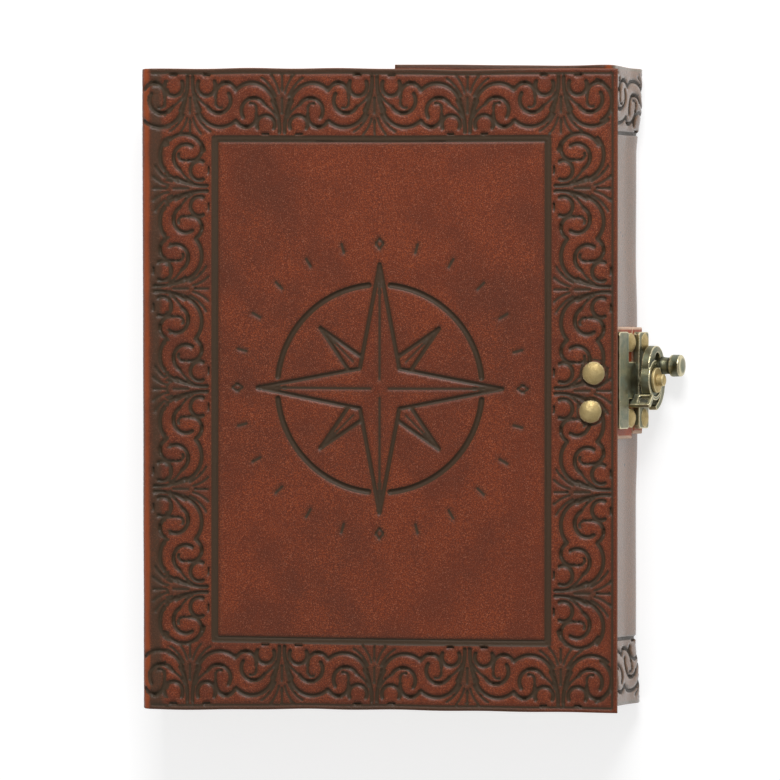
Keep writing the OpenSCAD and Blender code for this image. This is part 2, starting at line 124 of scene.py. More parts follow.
class MaterialKit:
    """Makes one material and the nodes in it."""

    def __init__(self, name: str) -> None:
        """Start an empty node tree with its output."""
        self.material = bpy.data.materials.new(name)
        self.material.use_nodes = True
        self.tree = self.material.node_tree
        self.tree.nodes.clear()
        self.output = self.tree.nodes.new("ShaderNodeOutputMaterial")

    def node(
        self,
        kind: str,
        settings: Optional[dict[str, object]] = None,
        inputs: Optional[dict[Union[str, int], Value]] = None,
        out: Union[str, int] = 0,
    ) -> Shade:
        """Add a node.

        Args:
            kind: The node's type name.
            settings: Its properties, set first.
            inputs: Values or links of its sockets, by name or number.
            out: The output socket to return.

        Returns:
            The chosen output as a Shade.
        """
        node = self.tree.nodes.new(kind)
        for key, value in (settings or {}).items():
            setattr(node, key, value)
        for key, value in (inputs or {}).items():
            if isinstance(value, Shade):
                self.tree.links.new(value.socket, node.inputs[key])
            else:
                node.inputs[key].default_value = value
        return Shade(self, node.outputs[out])

    def attribute(self, name: str, out: str = "Fac") -> Shade:
        """Read a vertex attribute."""
        return self.node("ShaderNodeAttribute", {"attribute_name": name}, out=out)

    def noise(self, where: Shade, scale: float, detail: float = 3.0, rough: float = 0.55) -> Shade:
        """Cloudy noise from 0 to 1 about 0.5; scale is cells a metre."""
        return self.node(
            "ShaderNodeTexNoise",
            None,
            {"Vector": where, "Scale": scale, "Detail": detail, "Roughness": rough},
        )

    def cells(self, where: Shade, scale: float) -> Shade:
        """Distance in a field of cells, for grain and pits."""
        return self.node("ShaderNodeTexVoronoi", None, {"Vector": where, "Scale": scale})

    def blend(self, factor: Value, first: Value, second: Value, mode: str = "MIX") -> Shade:
        """Mix two colours by a factor."""
        rgba = [v if isinstance(v, Shade) else (*v, 1.0) for v in (first, second)]
        return self.node(
            "ShaderNodeMix",
            {"data_type": "RGBA", "blend_type": mode, "clamp_factor": True},
            {0: factor, 6: rgba[0], 7: rgba[1]},
            out=2,
        )

    def stretch(self, where: Shade, factors: Sequence[float]) -> Shade:
        """Scale a place along each axis."""
        return self.node(
            "ShaderNodeVectorMath", {"operation": "MULTIPLY"}, {0: where, 1: tuple(factors)}
        )

    def bump(
        self, height: Shade, strength: float, depth: float, under: Optional[Shade] = None
    ) -> Shade:
        """Turn a height from 0 to 1 into a normal; depth is in metres."""
        inputs: dict[Union[str, int], Value] = {
            "Height": height,
            "Strength": strength,
            "Distance": depth,
        }
        if under is not None:
            inputs["Normal"] = under
        return self.node("ShaderNodeBump", None, inputs)

    def principled(self, inputs: dict[Union[str, int], Value]) -> bpy.types.Material:
        """Finish the material with one Principled shader."""
        shader = self.node("ShaderNodeBsdfPrincipled", None, inputs)
        self.tree.links.new(shader.socket, self.output.inputs["Surface"])
        return self.material


# Finishes


@dataclass(frozen=True)
class LeatherFinish:
    """Waxed leather, patchy in colour, dark in its tooled lines and raw at its cut edges."""

    name: str
    ground: tuple[float, float, float]
    bright: tuple[float, float, float]
    dark: tuple[float, float, float]
    ink: tuple[float, float, float]
    raw: tuple[float, float, float]
    flesh: tuple[float, float, float]
    # painted glare: pale reflection colour laid over the polished wall
    tarnish_and_glare: tuple[float, float, float] = (0.36, 0.29, 0.14)
    patch_scale: float = 52.0
    fleck_scale: float = 2100.0
    fibre_scale: float = 2600.0
    pit_scale: float = 330.0
    grain_depth: float = 0.00014
    roughness: float = 0.46
    coat: float = 0.05
    glint: tuple[float, float, float] = (0.42, 0.17, 0.1)

    def build(self) -> bpy.types.Material:
        """Make the material."""
        kit = MaterialKit(self.name)
        where = kit.attribute("rest", "Vector")
        groove, halo = kit.attribute("groove"), kit.attribute("halo")
        edge, flesh = kit.attribute("edge").top(kit.attribute("raw")), kit.attribute("flesh")
        patch = kit.noise(where, self.patch_scale, 4.0, 0.6)
        drift = kit.noise(where, self.patch_scale * 0.35, 2.0, 0.5)
        fleck = kit.noise(where, self.fleck_scale, 2.0, 0.7)
        pores = kit.cells(where, self.fleck_scale * 0.55)
        fibre = kit.noise(where, self.fibre_scale, 3.0, 0.7)

        darkening, wear_and_highlight, polish_and_glare = kit.attribute("darkening"), kit.attribute("wear_and_highlight"), kit.attribute("polish_and_glare")
        speck = kit.noise(where, self.fleck_scale * 1.9, 2.0, 0.6)
        tone = (patch * 0.65 + drift * 0.5 - 0.08).step(0.22, 0.66)
        colour = kit.blend(tone * 0.85 + 0.15, self.dark, self.ground)
        lit = (fleck * 0.55 + speck * 0.45).step(0.49, 0.6) * (patch.step(0.35, 0.62) * 0.75 + 0.25)
        colour = kit.blend(lit * 0.7, colour, self.bright)
        colour = kit.blend((fleck * 0.45 + speck * 0.55).step(0.49, 0.38) * 0.6, colour, self.dark)
        colour = kit.blend(speck.step(0.59, 0.68) * 0.6, colour, self.glint)
        colour = kit.blend((darkening * (0.5 + drift)).step(0.2, 0.8) * 0.75, colour, self.ink)
        # painted highlight on the outside of each fold, which is also rubbed, and real wear along
        # the fore edge
        colour = kit.blend((wear_and_highlight * (0.3 + patch * 1.3)).step(0.3, 0.9) * 0.8, colour, self.bright)
        # painted glare: the polished wall's colour paled towards a reflection
        colour = kit.blend(polish_and_glare * (0.15 + patch * 0.22), colour, self.tarnish_and_glare)
        pits = kit.cells(where, self.pit_scale).step(0.2, 0.08) * patch.step(0.5, 0.62)
        colour = kit.blend(polish_and_glare * pits, colour, self.ink)
        around = (halo * (0.3 + patch * 0.8)).step(0.15, 1.0)
        colour = kit.blend(around * 0.42, colour, self.ink)
        deep = (groove + (fleck - 0.5) * 0.5).step(0.2, 0.65)
        colour = kit.blend(deep * (0.7 + speck * 0.4), colour, self.ink)
        raw = kit.blend(fibre.step(0.3, 0.7) * 0.5, self.raw, self.ground)
        colour = kit.blend((edge * (0.6 + fibre * 0.8)).step(0.1, 0.9), colour, raw)
        suede = kit.blend(fibre.step(0.35, 0.65) * 0.35, self.flesh, self.dark)
        suede = kit.blend(tone * 0.3, suede, self.ground)
        colour = kit.blend(flesh, colour, suede)

        shine = self.roughness + (patch - 0.5) * 0.16 + (speck - 0.5) * 0.3
        shine = shine + edge * 0.3 + flesh * 0.42 + deep * 0.06 - polish_and_glare * 0.14
        grain = kit.bump(pores, 0.3, self.grain_depth)
        grain = kit.bump(fleck + speck * 0.8, 0.45, self.grain_depth, grain)
        grain = kit.bump(fibre * (edge + flesh * 0.7), 0.6, 0.00012, grain)
        weight = (1 - flesh.top(edge)) * (self.coat + polish_and_glare * (1 - self.coat)) * (1 - deep * 0.7)
        return kit.principled(
            {
                "Base Color": colour,
                "Roughness": shine,
                "Normal": grain,
                "Coat Weight": weight,
                "Coat Roughness": 0.22,
                "Coat IOR": 1.6,
                "IOR": 1.45,
                "Specular IOR Level": 0.24,
            }
        )


@dataclass(frozen=True)
class MetalFinish:
    """Cast or turned brass: dull in its hollows and bright where it is rubbed."""

    name: str
    body: tuple[float, float, float]
    bright: tuple[float, float, float]
    dirt: tuple[float, float, float]
    tarnish_and_glare: tuple[float, float, float]
    bloom_share: float = 0.35
    roughness: float = 0.38
    wear: float = 0.8
    dents: float = 0.1

    def build(self) -> bpy.types.Material:
        """Make the material."""
        kit = MaterialKit(self.name)
        where = kit.attribute("rest", "Vector")
        ridge, hollow = kit.attribute("ridge"), kit.attribute("hollow")
        cloud = kit.noise(where, 260.0, 4.0, 0.6)
        speck = kit.noise(where, 2200.0, 3.0, 0.7)
        scratch = kit.noise(kit.stretch(where, (0.15, 1.0, 1.0)), 3600.0, 2.0, 0.6)
        old = (cloud + (speck - 0.5) * 0.5).step(0.62 - self.bloom_share * 0.4, 0.75)
        colour = kit.blend(old, self.body, self.tarnish_and_glare)
        grime = (hollow * 1.2 + (speck - 0.5) * 0.3).step(0.1, 0.8)
        colour = kit.blend(grime * 0.85, colour, self.dirt)
        rub = (ridge * (0.7 + cloud * 0.6)).step(0.25, 0.8) * self.wear
        colour = kit.blend(rub, colour, self.bright)
        shine = self.roughness + old * 0.2 - rub * 0.14 + (speck - 0.5) * 0.16 + hollow * 0.15
        metal = 1 - old * 0.45 - hollow.step(0.2, 1.0) * 0.4
        face = kit.bump(scratch, 0.12, 0.00004)
        face = kit.bump(speck + cloud * 0.6, 0.3, 0.00008, face)
        face = kit.bump(kit.noise(where, 620.0, 2.0, 0.5), self.dents, 0.0005, face)
        return kit.principled(
            {"Base Color": colour, "Roughness": shine, "Metallic": metal, "Normal": face}
        )


@dataclass(frozen=True)
class PaperFinish:
    """Uncoated deckled paper, with fibres and slightly toned edges."""

    name: str = "handmade_paper"
    sheet: tuple[float, float, float] = (0.79, 0.72, 0.58)
    toned: tuple[float, float, float] = (0.6, 0.48, 0.32)

    def build(self) -> bpy.types.Material:
        """Make the material."""
        kit = MaterialKit(self.name)
        where = kit.attribute("rest", "Vector")
        edge = kit.attribute("edge")
        cloud = kit.noise(where, 60.0, 3.0, 0.6)
        fibre = kit.noise(kit.stretch(where, (1.0, 0.35, 1.0)), 1800.0, 4.0, 0.75)
        colour = kit.blend(cloud.step(0.35, 0.75) * 0.35, self.sheet, self.toned)
        colour = kit.blend(fibre.step(0.6, 0.75) * 0.25, colour, self.toned)
        colour = kit.blend(edge * (0.3 + cloud * 0.6), colour, self.toned)
        normal = kit.bump(fibre, 0.35, 0.00015)
        normal = kit.bump(cloud, 0.3, 0.0006, normal)
        dull = 0.9 - fibre * 0.08
        return kit.principled({"Base Color": colour, "Roughness": dull, "Normal": normal})


@dataclass(frozen=True)
class ThreadFinish:
    """Waxed linen thread."""

    name: str = "waxed_linen"
    fibre: tuple[float, float, float] = (0.58, 0.47, 0.31)
    shade: tuple[float, float, float] = (0.3, 0.21, 0.12)

    def build(self) -> bpy.types.Material:
        """Make the material."""
        kit = MaterialKit(self.name)
        where = kit.attribute("rest", "Vector")
        ply_shade = kit.attribute("hollow")
        fuzz = kit.noise(where, 5200.0, 3.0, 0.7)
        colour = kit.blend(fuzz.step(0.4, 0.7) * 0.4, self.fibre, self.shade)
        # painted shade: each ply darker where it turns in against the others
        colour = kit.blend(ply_shade * 0.8, colour, self.shade)
        normal = kit.bump(fuzz, 0.5, 0.00008)
        dull = 0.55 + fuzz * 0.2
        return kit.principled({"Base Color": colour, "Roughness": dull, "Normal": normal})


class Finish(Enum):
    """The finishes of the notebook, by the record's material slots."""

    COVER_LEATHER = "cover_leather"
    TAB_LEATHER = "tab_leather"
    PAPER = "paper"
    THREAD = "thread"
    ANTIQUE_BRASS = "antique_brass"
    RIVET_BRASS = "rivet_brass"


RECIPES: dict[Finish, Union[LeatherFinish, MetalFinish, PaperFinish, ThreadFinish]] = {
    Finish.COVER_LEATHER: LeatherFinish(
        "tooled_leather",
        ground=(0.14, 0.025, 0.008),
        bright=(0.32, 0.066, 0.016),
        dark=(0.08, 0.021, 0.01),
        ink=(0.046, 0.031, 0.017),
        raw=(0.24, 0.09, 0.045),
        flesh=(0.2, 0.1, 0.055),
    ),
    Finish.TAB_LEATHER: LeatherFinish(
        "tab_leather",
        ground=(0.46, 0.075, 0.02),
        bright=(0.66, 0.14, 0.04),
        dark=(0.18, 0.045, 0.02),
        ink=(0.04, 0.026, 0.018),
        raw=(0.85, 0.68, 0.52),
        flesh=(0.45, 0.28, 0.16),
    ),
    Finish.PAPER: PaperFinish(),
    Finish.THREAD: ThreadFinish(),
    Finish.ANTIQUE_BRASS: MetalFinish(
        "antique_brass",
        body=(0.22, 0.21, 0.13),
        bright=(0.74, 0.66, 0.42),
        dirt=(0.035, 0.038, 0.026),
        tarnish_and_glare=(0.15, 0.18, 0.125),
        bloom_share=0.6,
    ),
    Finish.RIVET_BRASS: MetalFinish(
        "rivet_brass",
        body=(0.54, 0.42, 0.2),
        bright=(0.8, 0.68, 0.4),
        dirt=(0.15, 0.12, 0.06),
        tarnish_and_glare=(0.42, 0.31, 0.13),
        bloom_share=0.5,
        roughness=0.56,
        wear=0.6,
        dents=0.45,
    ),
}


class Wardrobe:
    """Keeps one material for each finish and dresses pieces with it."""

    def __init__(self) -> None:
        """Build every finish once."""
        self.materials = {finish: RECIPES[finish].build() for finish in Finish}

    def dress(self, piece: bpy.types.Object, finish: Finish) -> None:
        """Give a piece the material of its finish."""
        piece.data.materials.clear()
        piece.data.materials.append(self.materials[finish])


# Mesh helpers


def smooth(low: float, high: float, x: Array) -> Array:
    """A smooth step from 0 at low to 1 at high."""
    t = np.clip((x - low) / (high - low), 0.0, 1.0)
    return t * t * (3.0 - 2.0 * t)


def ripple(x: Array, y: Array, size: float, seed: int) -> Array:
    """Smooth unevenness from -1 to 1.

    Args:
        x: First coordinate.
        y: Second coordinate.
        size: Length of its waves, in the coordinates' unit.
        seed: Chooses the pattern.

    Returns:
        One value a point.
    """
    rng = np.random.default_rng(seed)
    total = np.zeros_like(np.asarray(x, float))
    for _ in range(6):
        angle, phase = rng.uniform(0, 2 * math.pi, 2)
        k = 2 * math.pi / (size * rng.uniform(0.6, 1.7))
        total += np.sin(k * (x * math.cos(angle) + y * math.sin(angle)) + phase)
    return total / 4.0


def mesh_object(
    name: str,
    points: Array,
    faces: Sequence[Sequence[int]],
    values: dict[str, Array],
) -> bpy.types.Object:
    """Make an object from points in millimetres.

    Args:
        name: The piece's name.
        points: Corners in the row frame, in millimetres.
        faces: Corner numbers of each face.
        values: Vertex attributes by name.

    Returns:
        The linked object, shaded smooth.
    """
    mesh = bpy.data.meshes.new(name)
    mesh.from_pydata((points * MM).tolist(), [], [list(f) for f in faces])
    mesh.validate()
    for key, data in values.items():
        attribute = mesh.attributes.new(key, "FLOAT", "POINT")
        attribute.data.foreach_set("value", np.asarray(data, np.float32))
    rest = mesh.attributes.new("rest", "FLOAT_VECTOR", "POINT")
    rest.data.foreach_set("vector", (points * MM).astype(np.float32).ravel())
    mesh.polygons.foreach_set("use_smooth", np.ones(len(mesh.polygons), bool))
    mesh.update()
    piece = bpy.data.objects.new(name, mesh)
    bpy.context.scene.collection.objects.link(piece)
    return piece


def triangles(points: Array) -> list[list[int]]:
    """Join flat points into triangles; every point keeps its number."""
    out = geometry.delaunay_2d_cdt([Vector(p) for p in points], [], [], 0, 1e-7, False)
    if len(out[0]) != len(points):
        raise ValueError("two points of a sheet lie on each other")
    return [f if cross_of(points, f) > 0 else f[::-1] for f in out[2]]


def ring_faces(low: int, high: int, count: int) -> list[list[int]]:
    """Quads between two closed rings, given their first corners."""
    pairs = [(k, (k + 1) % count) for k in range(count)]
    return [[low + k, high + k, high + j, low + j] for k, j in pairs]


def cross_of(points: Array, face: Sequence[int]) -> float:
    """Twice the signed area of a flat triangle."""
    a, b, c = (points[i] for i in face)
    return (b[0] - a[0]) * (c[1] - a[1]) - (b[1] - a[1]) * (c[0] - a[0])


# Tooling


@dataclass
class Line:
    """One tooled line: its points, width and depth in millimetres."""

    points: Array
    width: float
    depth: float

    def moved(self, turn: float, shift: Sequence[float], flip: bool = False) -> "Line":
        """The line mirrored in x if asked, turned by an angle in degrees, then shifted."""
        p = self.points * np.array([-1.0 if flip else 1.0, 1.0])
        c, s = math.cos(math.radians(turn)), math.sin(math.radians(turn))
        turned = np.column_stack([p[:, 0] * c - p[:, 1] * s, p[:, 0] * s + p[:, 1] * c])
        return Line(turned + np.array(shift), self.width, self.depth)

    def laid(self, x: Array, y: Array) -> "Line":
        """The same tool pressed along other points."""
        return Line(np.column_stack([x, y]), self.width, self.depth)


def arc_line(
    cx: float, cy: float, r: float, a0: float, a1: float, width: float, depth: float
) -> Line:
    """A tooled arc about a centre, with angles in degrees."""
    steps = max(4, int(abs(math.radians(a1 - a0)) * r / 0.6))
    a = np.radians(np.linspace(a0, a1, steps + 1))
    return Line(np.column_stack([cx + r * np.cos(a), cy + r * np.sin(a)]), width, depth)


def bar_line(p: Sequence[float], q: Sequence[float], width: float, depth: float) -> Line:
    """A straight tooled line."""
    steps = max(1, int(math.dist(p, q) / 0.9))
    t = np.linspace(0.0, 1.0, steps + 1)[:, None]
    return Line(np.array(p) * (1 - t) + np.array(q) * t, width, depth)


@dataclass
class Tooling:
    """The lines pressed into a sheet, and what they do to its surface."""

    lines: list[Line] = field(default_factory=list)
    reach: float = 4.0

    # distances from a line's middle, in half widths, at which the mesh follows it
    SHARES = (0.0, 1.2, 0.5, 0.85)

    def guide_points(self, step: float = 0.6) -> Array:
        """Points along each line, beside it and round its ends, for the mesh to follow."""
        found = []
        for share in self.SHARES:
            for line in self.lines:
                p = line.points
                gaps = np.linalg.norm(np.diff(p, axis=0), axis=1)
                along = np.concatenate([[0.0], np.cumsum(gaps)])
                count = max(2, int(along[-1] / step) + 1)
                t = np.linspace(0.0, along[-1], count)
                q = np.column_stack([np.interp(t, along, p[:, k]) for k in (0, 1)])
                if not share:
                    found.append(q)
                    continue
                r = share * line.width * 0.5
                d = np.gradient(q, axis=0)
                d /= np.maximum(np.linalg.norm(d, axis=1), 1e-9)[:, None]
                n = np.column_stack([-d[:, 1], d[:, 0]])
                found += [q + n * r, q - n * r]
                turns = np.linspace(0.0, math.pi, max(3, int(math.pi * r / 0.42)) + 1)[1:-1]
                for end, way in ((0, -1.0), (-1, 1.0)):
                    cap = np.cos(turns)[:, None] * n[end] + way * np.sin(turns)[:, None] * d[end]
                    found.append(q[end] + cap * r)
        return np.concatenate(found) if found else np.zeros((0, 2))

    def press(self, points: Array) -> tuple[Array, Array, Array]:
        """Depth, groove and halo of the tooling at some places.

        Args:
            points: Places on the sheet.

        Returns:
            Height below the surface (negative), darkness of the groove and of its surroundings.
        """
        depth = np.zeros(len(points))
        groove = np.zeros(len(points))
        halo = np.zeros(len(points))
        for line in self.lines:
            p, q = line.points[:-1], line.points[1:]
            low = line.points.min(0) - self.reach
            high = line.points.max(0) + self.reach
            near = np.nonzero(np.all((points > low) & (points < high), axis=1))[0]
            if not len(near):
                continue
            x = points[near][:, None, :]
            d = q - p
            t = np.clip(((x - p) * d).sum(2) / np.maximum((d * d).sum(1), 1e-9), 0.0, 1.0)
            gap = np.linalg.norm(x - (p + t[..., None] * d), axis=2).min(1)
            half = line.width / 2
            cup = 1 - smooth(half * 0.4, half * 1.2, gap)
            soft = np.exp(-((gap / (half + 0.8)) ** 2)) * 0.12
            depth[near] = np.maximum(depth[near], line.depth * np.maximum(cup, soft))
            dark = 1 - smooth(half * 0.75, half * 1.3, gap)
            groove[near] = np.maximum(groove[near], dark * min(1.0, line.depth / 0.6))
            halo[near] = np.maximum(halo[near], np.exp(-((gap / 1.8) ** 2)))
        return -depth, groove, halo


@dataclass
class BorderPattern:
    """Traditional scroll border: fans, arches and curling leaves by turns."""

    groove: float = 1.35
    fine: float = 0.95
    depth: float = 0.8
    punch: float = 1.3

    def half(self) -> list[Line]:
        """Half a unit, with the fan's axis at x = 0 and the band's middle at y = 0."""
        g, f, d = self.groove, self.fine, self.depth
        arches = [
            arc_line(9.8, -0.6, 7.4, 47, 165, g, d),
            arc_line(18.7, -7.6, 17.9, 150, 183, g, d),
            arc_line(9.2, -1.6, 4.0, -32, 148, g, d),
            arc_line(10.9, -8.6, 10.3, 122, 152, f, d),
        ]
        curl = [
            arc_line(11.7, -3.4, 3.4, 180, 328, g, d),
            bar_line((8.3, -3.4), (8.35, -0.6), f, d),
            arc_line(9.7, -0.6, 1.35, 60, 180, f, d),
            arc_line(5.3, -6.0, 2.9, -25, 205, g, d),
        ]
        leaves = [
            arc_line(12.5, -1.5, 11.36, 121, 157, f, d * 0.9),
            arc_line(12.2, 1.2, 11.6, 138, 166, f, d * 0.8),
            arc_line(16.0, -3.5, 14.8, 158, 178, f * 0.8, d * 0.5),
        ]
        marks = [
            bar_line((4.5, -9.0), (6.4, -9.0), f * 0.8, self.punch),
            bar_line((8.3, 2.35), (10.1, 2.35), f * 0.8, self.punch),
            bar_line((10.9, -6.9), (12.5, -6.9), f * 0.8, self.punch),
        ]
        return arches + curl + leaves + marks

    def unit(self) -> list[Line]:
        """One fan with its scrolls on both sides."""
        lines = self.half()
        lines += [line.moved(0, (0, 0), flip=True) for line in self.half()]
        lines.append(bar_line((0, -2.5), (0, 2.4), self.fine, self.depth * 0.8))
        lines.append(bar_line((0, 4.6), (0, 8.8), self.fine, self.depth * 0.9))
        return lines

    def cap(self) -> list[Line]:
        """The arch's way back round the last scroll, where no other fan follows."""
        return [arc_line(9.2, -0.9, 7.0, -72, 58, self.groove, self.depth)]

    def band(self, places: Sequence[float], caps: tuple[bool, bool]) -> list[Line]:
        """Fans along x that open down and up by turns, with closed scrolls at the capped ends."""
        lines = []
        last = len(places) - 1
        for i, x in enumerate(places):
            turn = 0 if i % 2 else 180
            lines += [line.moved(turn, (x, 0)) for line in self.unit()]
            for end, way in ((0, -1), (last, 1)):
                if i == end and caps[end == last]:
                    flip = (way < 0) == (turn == 0)
                    caps_here = [line.moved(0, (0, 0), flip) for line in self.cap()]
                    lines += [line.moved(turn, (x, 0)) for line in caps_here]
        return lines


@dataclass
class RosePattern:
    """Traditional wind rose with eight points, a ring and marks."""

    long: float = 39.5
    short: float = 27.0
    waist: float = 9.0
    ring: float = 33.0
    tick: float = 46.0
    width: float = 1.4
    depth: float = 0.8

    def lines(self) -> list[Line]:
        """All lines about the rose's middle."""
        w, d = self.width, self.depth
        made: list[Line] = []
        corner = self.waist * math.sqrt(0.5)
        for turn in (0, 90, 180, 270):
            point = [
                bar_line((self.long, 0), (corner, corner), w, d),
                bar_line((self.long, 0), (corner, -corner), w, d),
                bar_line((self.waist / 3, 0), (self.long, 0), w * 0.75, d * 0.8),
                arc_line(0, 0, self.ring, 6, 84, w * 1.25, d),
            ]
            for a in (15, 30, 45, 60, 75):
                c, s = math.cos(math.radians(a)), math.sin(math.radians(a))
                point.append(
                    bar_line(
                        ((self.tick - 1.4) * c, (self.tick - 1.4) * s),
                        ((self.tick + 1.4) * c, (self.tick + 1.4) * s),
                        w * 0.8,
                        d * 0.8,
                    )
                )
            made += [line.moved(turn, (0, 0)) for line in point]
        for turn in (45, 135, 225, 315):
            base = self.waist + 3
            c, s = math.cos(math.radians(14)), math.sin(math.radians(14))
            point = [
                bar_line((base * c, base * s), (self.short, 0), w, d),
                bar_line((base * c, -base * s), (self.short, 0), w, d),
                bar_line((base, 0), (self.short, 0), w * 0.6, d * 0.6),
            ]
            made += [line.moved(turn, (0, 0)) for line in point]
        return made + self.winds()

    def winds(self) -> list[Line]:
        """A small lozenge at each of the four winds."""
        r, w, d = 1.7, self.width * 0.6, self.depth * 0.8
        corners = [(r, 0.0), (0.0, r * 0.7), (-r, 0.0), (0.0, -r * 0.7), (r, 0.0)]
        sides = [bar_line(p, q, w, d) for p, q in zip(corners, corners[1:])]
        sides = [side.moved(0, (self.tick, 0)) for side in sides]
        return [side.moved(turn, (0, 0)) for turn in (0, 90, 180, 270) for side in sides]


# Leather sheets


@dataclass
class Path:
    """Section of folded leather: straight runs and turns, with its outer face on the left."""

    start: tuple[float, float]
    heading: float
    parts: list[tuple[float, float]]

    def __post_init__(self) -> None:
        """Work out where each part starts."""
        self.marks = [0.0]
        self.states = [(self.start[0], self.start[1], math.radians(self.heading))]
        for length, turn in self.parts:
            x, z, a = self.states[-1]
            self.states.append(self._after(x, z, a, length, math.radians(turn), length))
            self.marks.append(self.marks[-1] + length)

    @staticmethod
    def _after(
        x: float, z: float, a: float, length: float, turn: float, s: float
    ) -> tuple[float, float, float]:
        """Place and heading a distance s into a part."""
        if abs(turn) < 1e-9:
            return x + s * math.cos(a), z + s * math.sin(a), a
        k = turn / length
        b = a + k * s
        return x + (math.sin(b) - math.sin(a)) / k, z - (math.cos(b) - math.cos(a)) / k, b

    @property
    def length(self) -> float:
        """Whole length."""
        return self.marks[-1]

    def at(self, s: Array) -> tuple[Array, Array, Array, Array]:
        """Places and outward normals at distances along the path."""
        s = np.asarray(s, float)
        x, z, a = np.zeros_like(s), np.zeros_like(s), np.zeros_like(s)
        last = len(self.parts) - 1
        for i, (length, turn) in enumerate(self.parts):
            low = -1e9 if i == 0 else self.marks[i]
            high = 1e9 if i == last else self.marks[i + 1]
            here = (s >= low) & (s < high)
            x0, z0, a0 = self.states[i]
            d = s[here] - self.marks[i]
            t = math.radians(turn)
            if abs(t) < 1e-9:
                x[here] = x0 + d * math.cos(a0)
                z[here] = z0 + d * math.sin(a0)
                a[here] = a0
            else:
                k = t / length
                b = a0 + k * d
                x[here] = x0 + (np.sin(b) - math.sin(a0)) / k
                z[here] = z0 - (np.cos(b) - math.cos(a0)) / k
                a[here] = b
        return x, z, -np.sin(a), np.cos(a)

    def turns(self) -> list[tuple[float, float]]:
        """Start and end of each turn."""
        ends = zip(self.marks, self.marks[1:])
        return [span for span, (_, turn) in zip(ends, self.parts) if abs(turn) > 1]


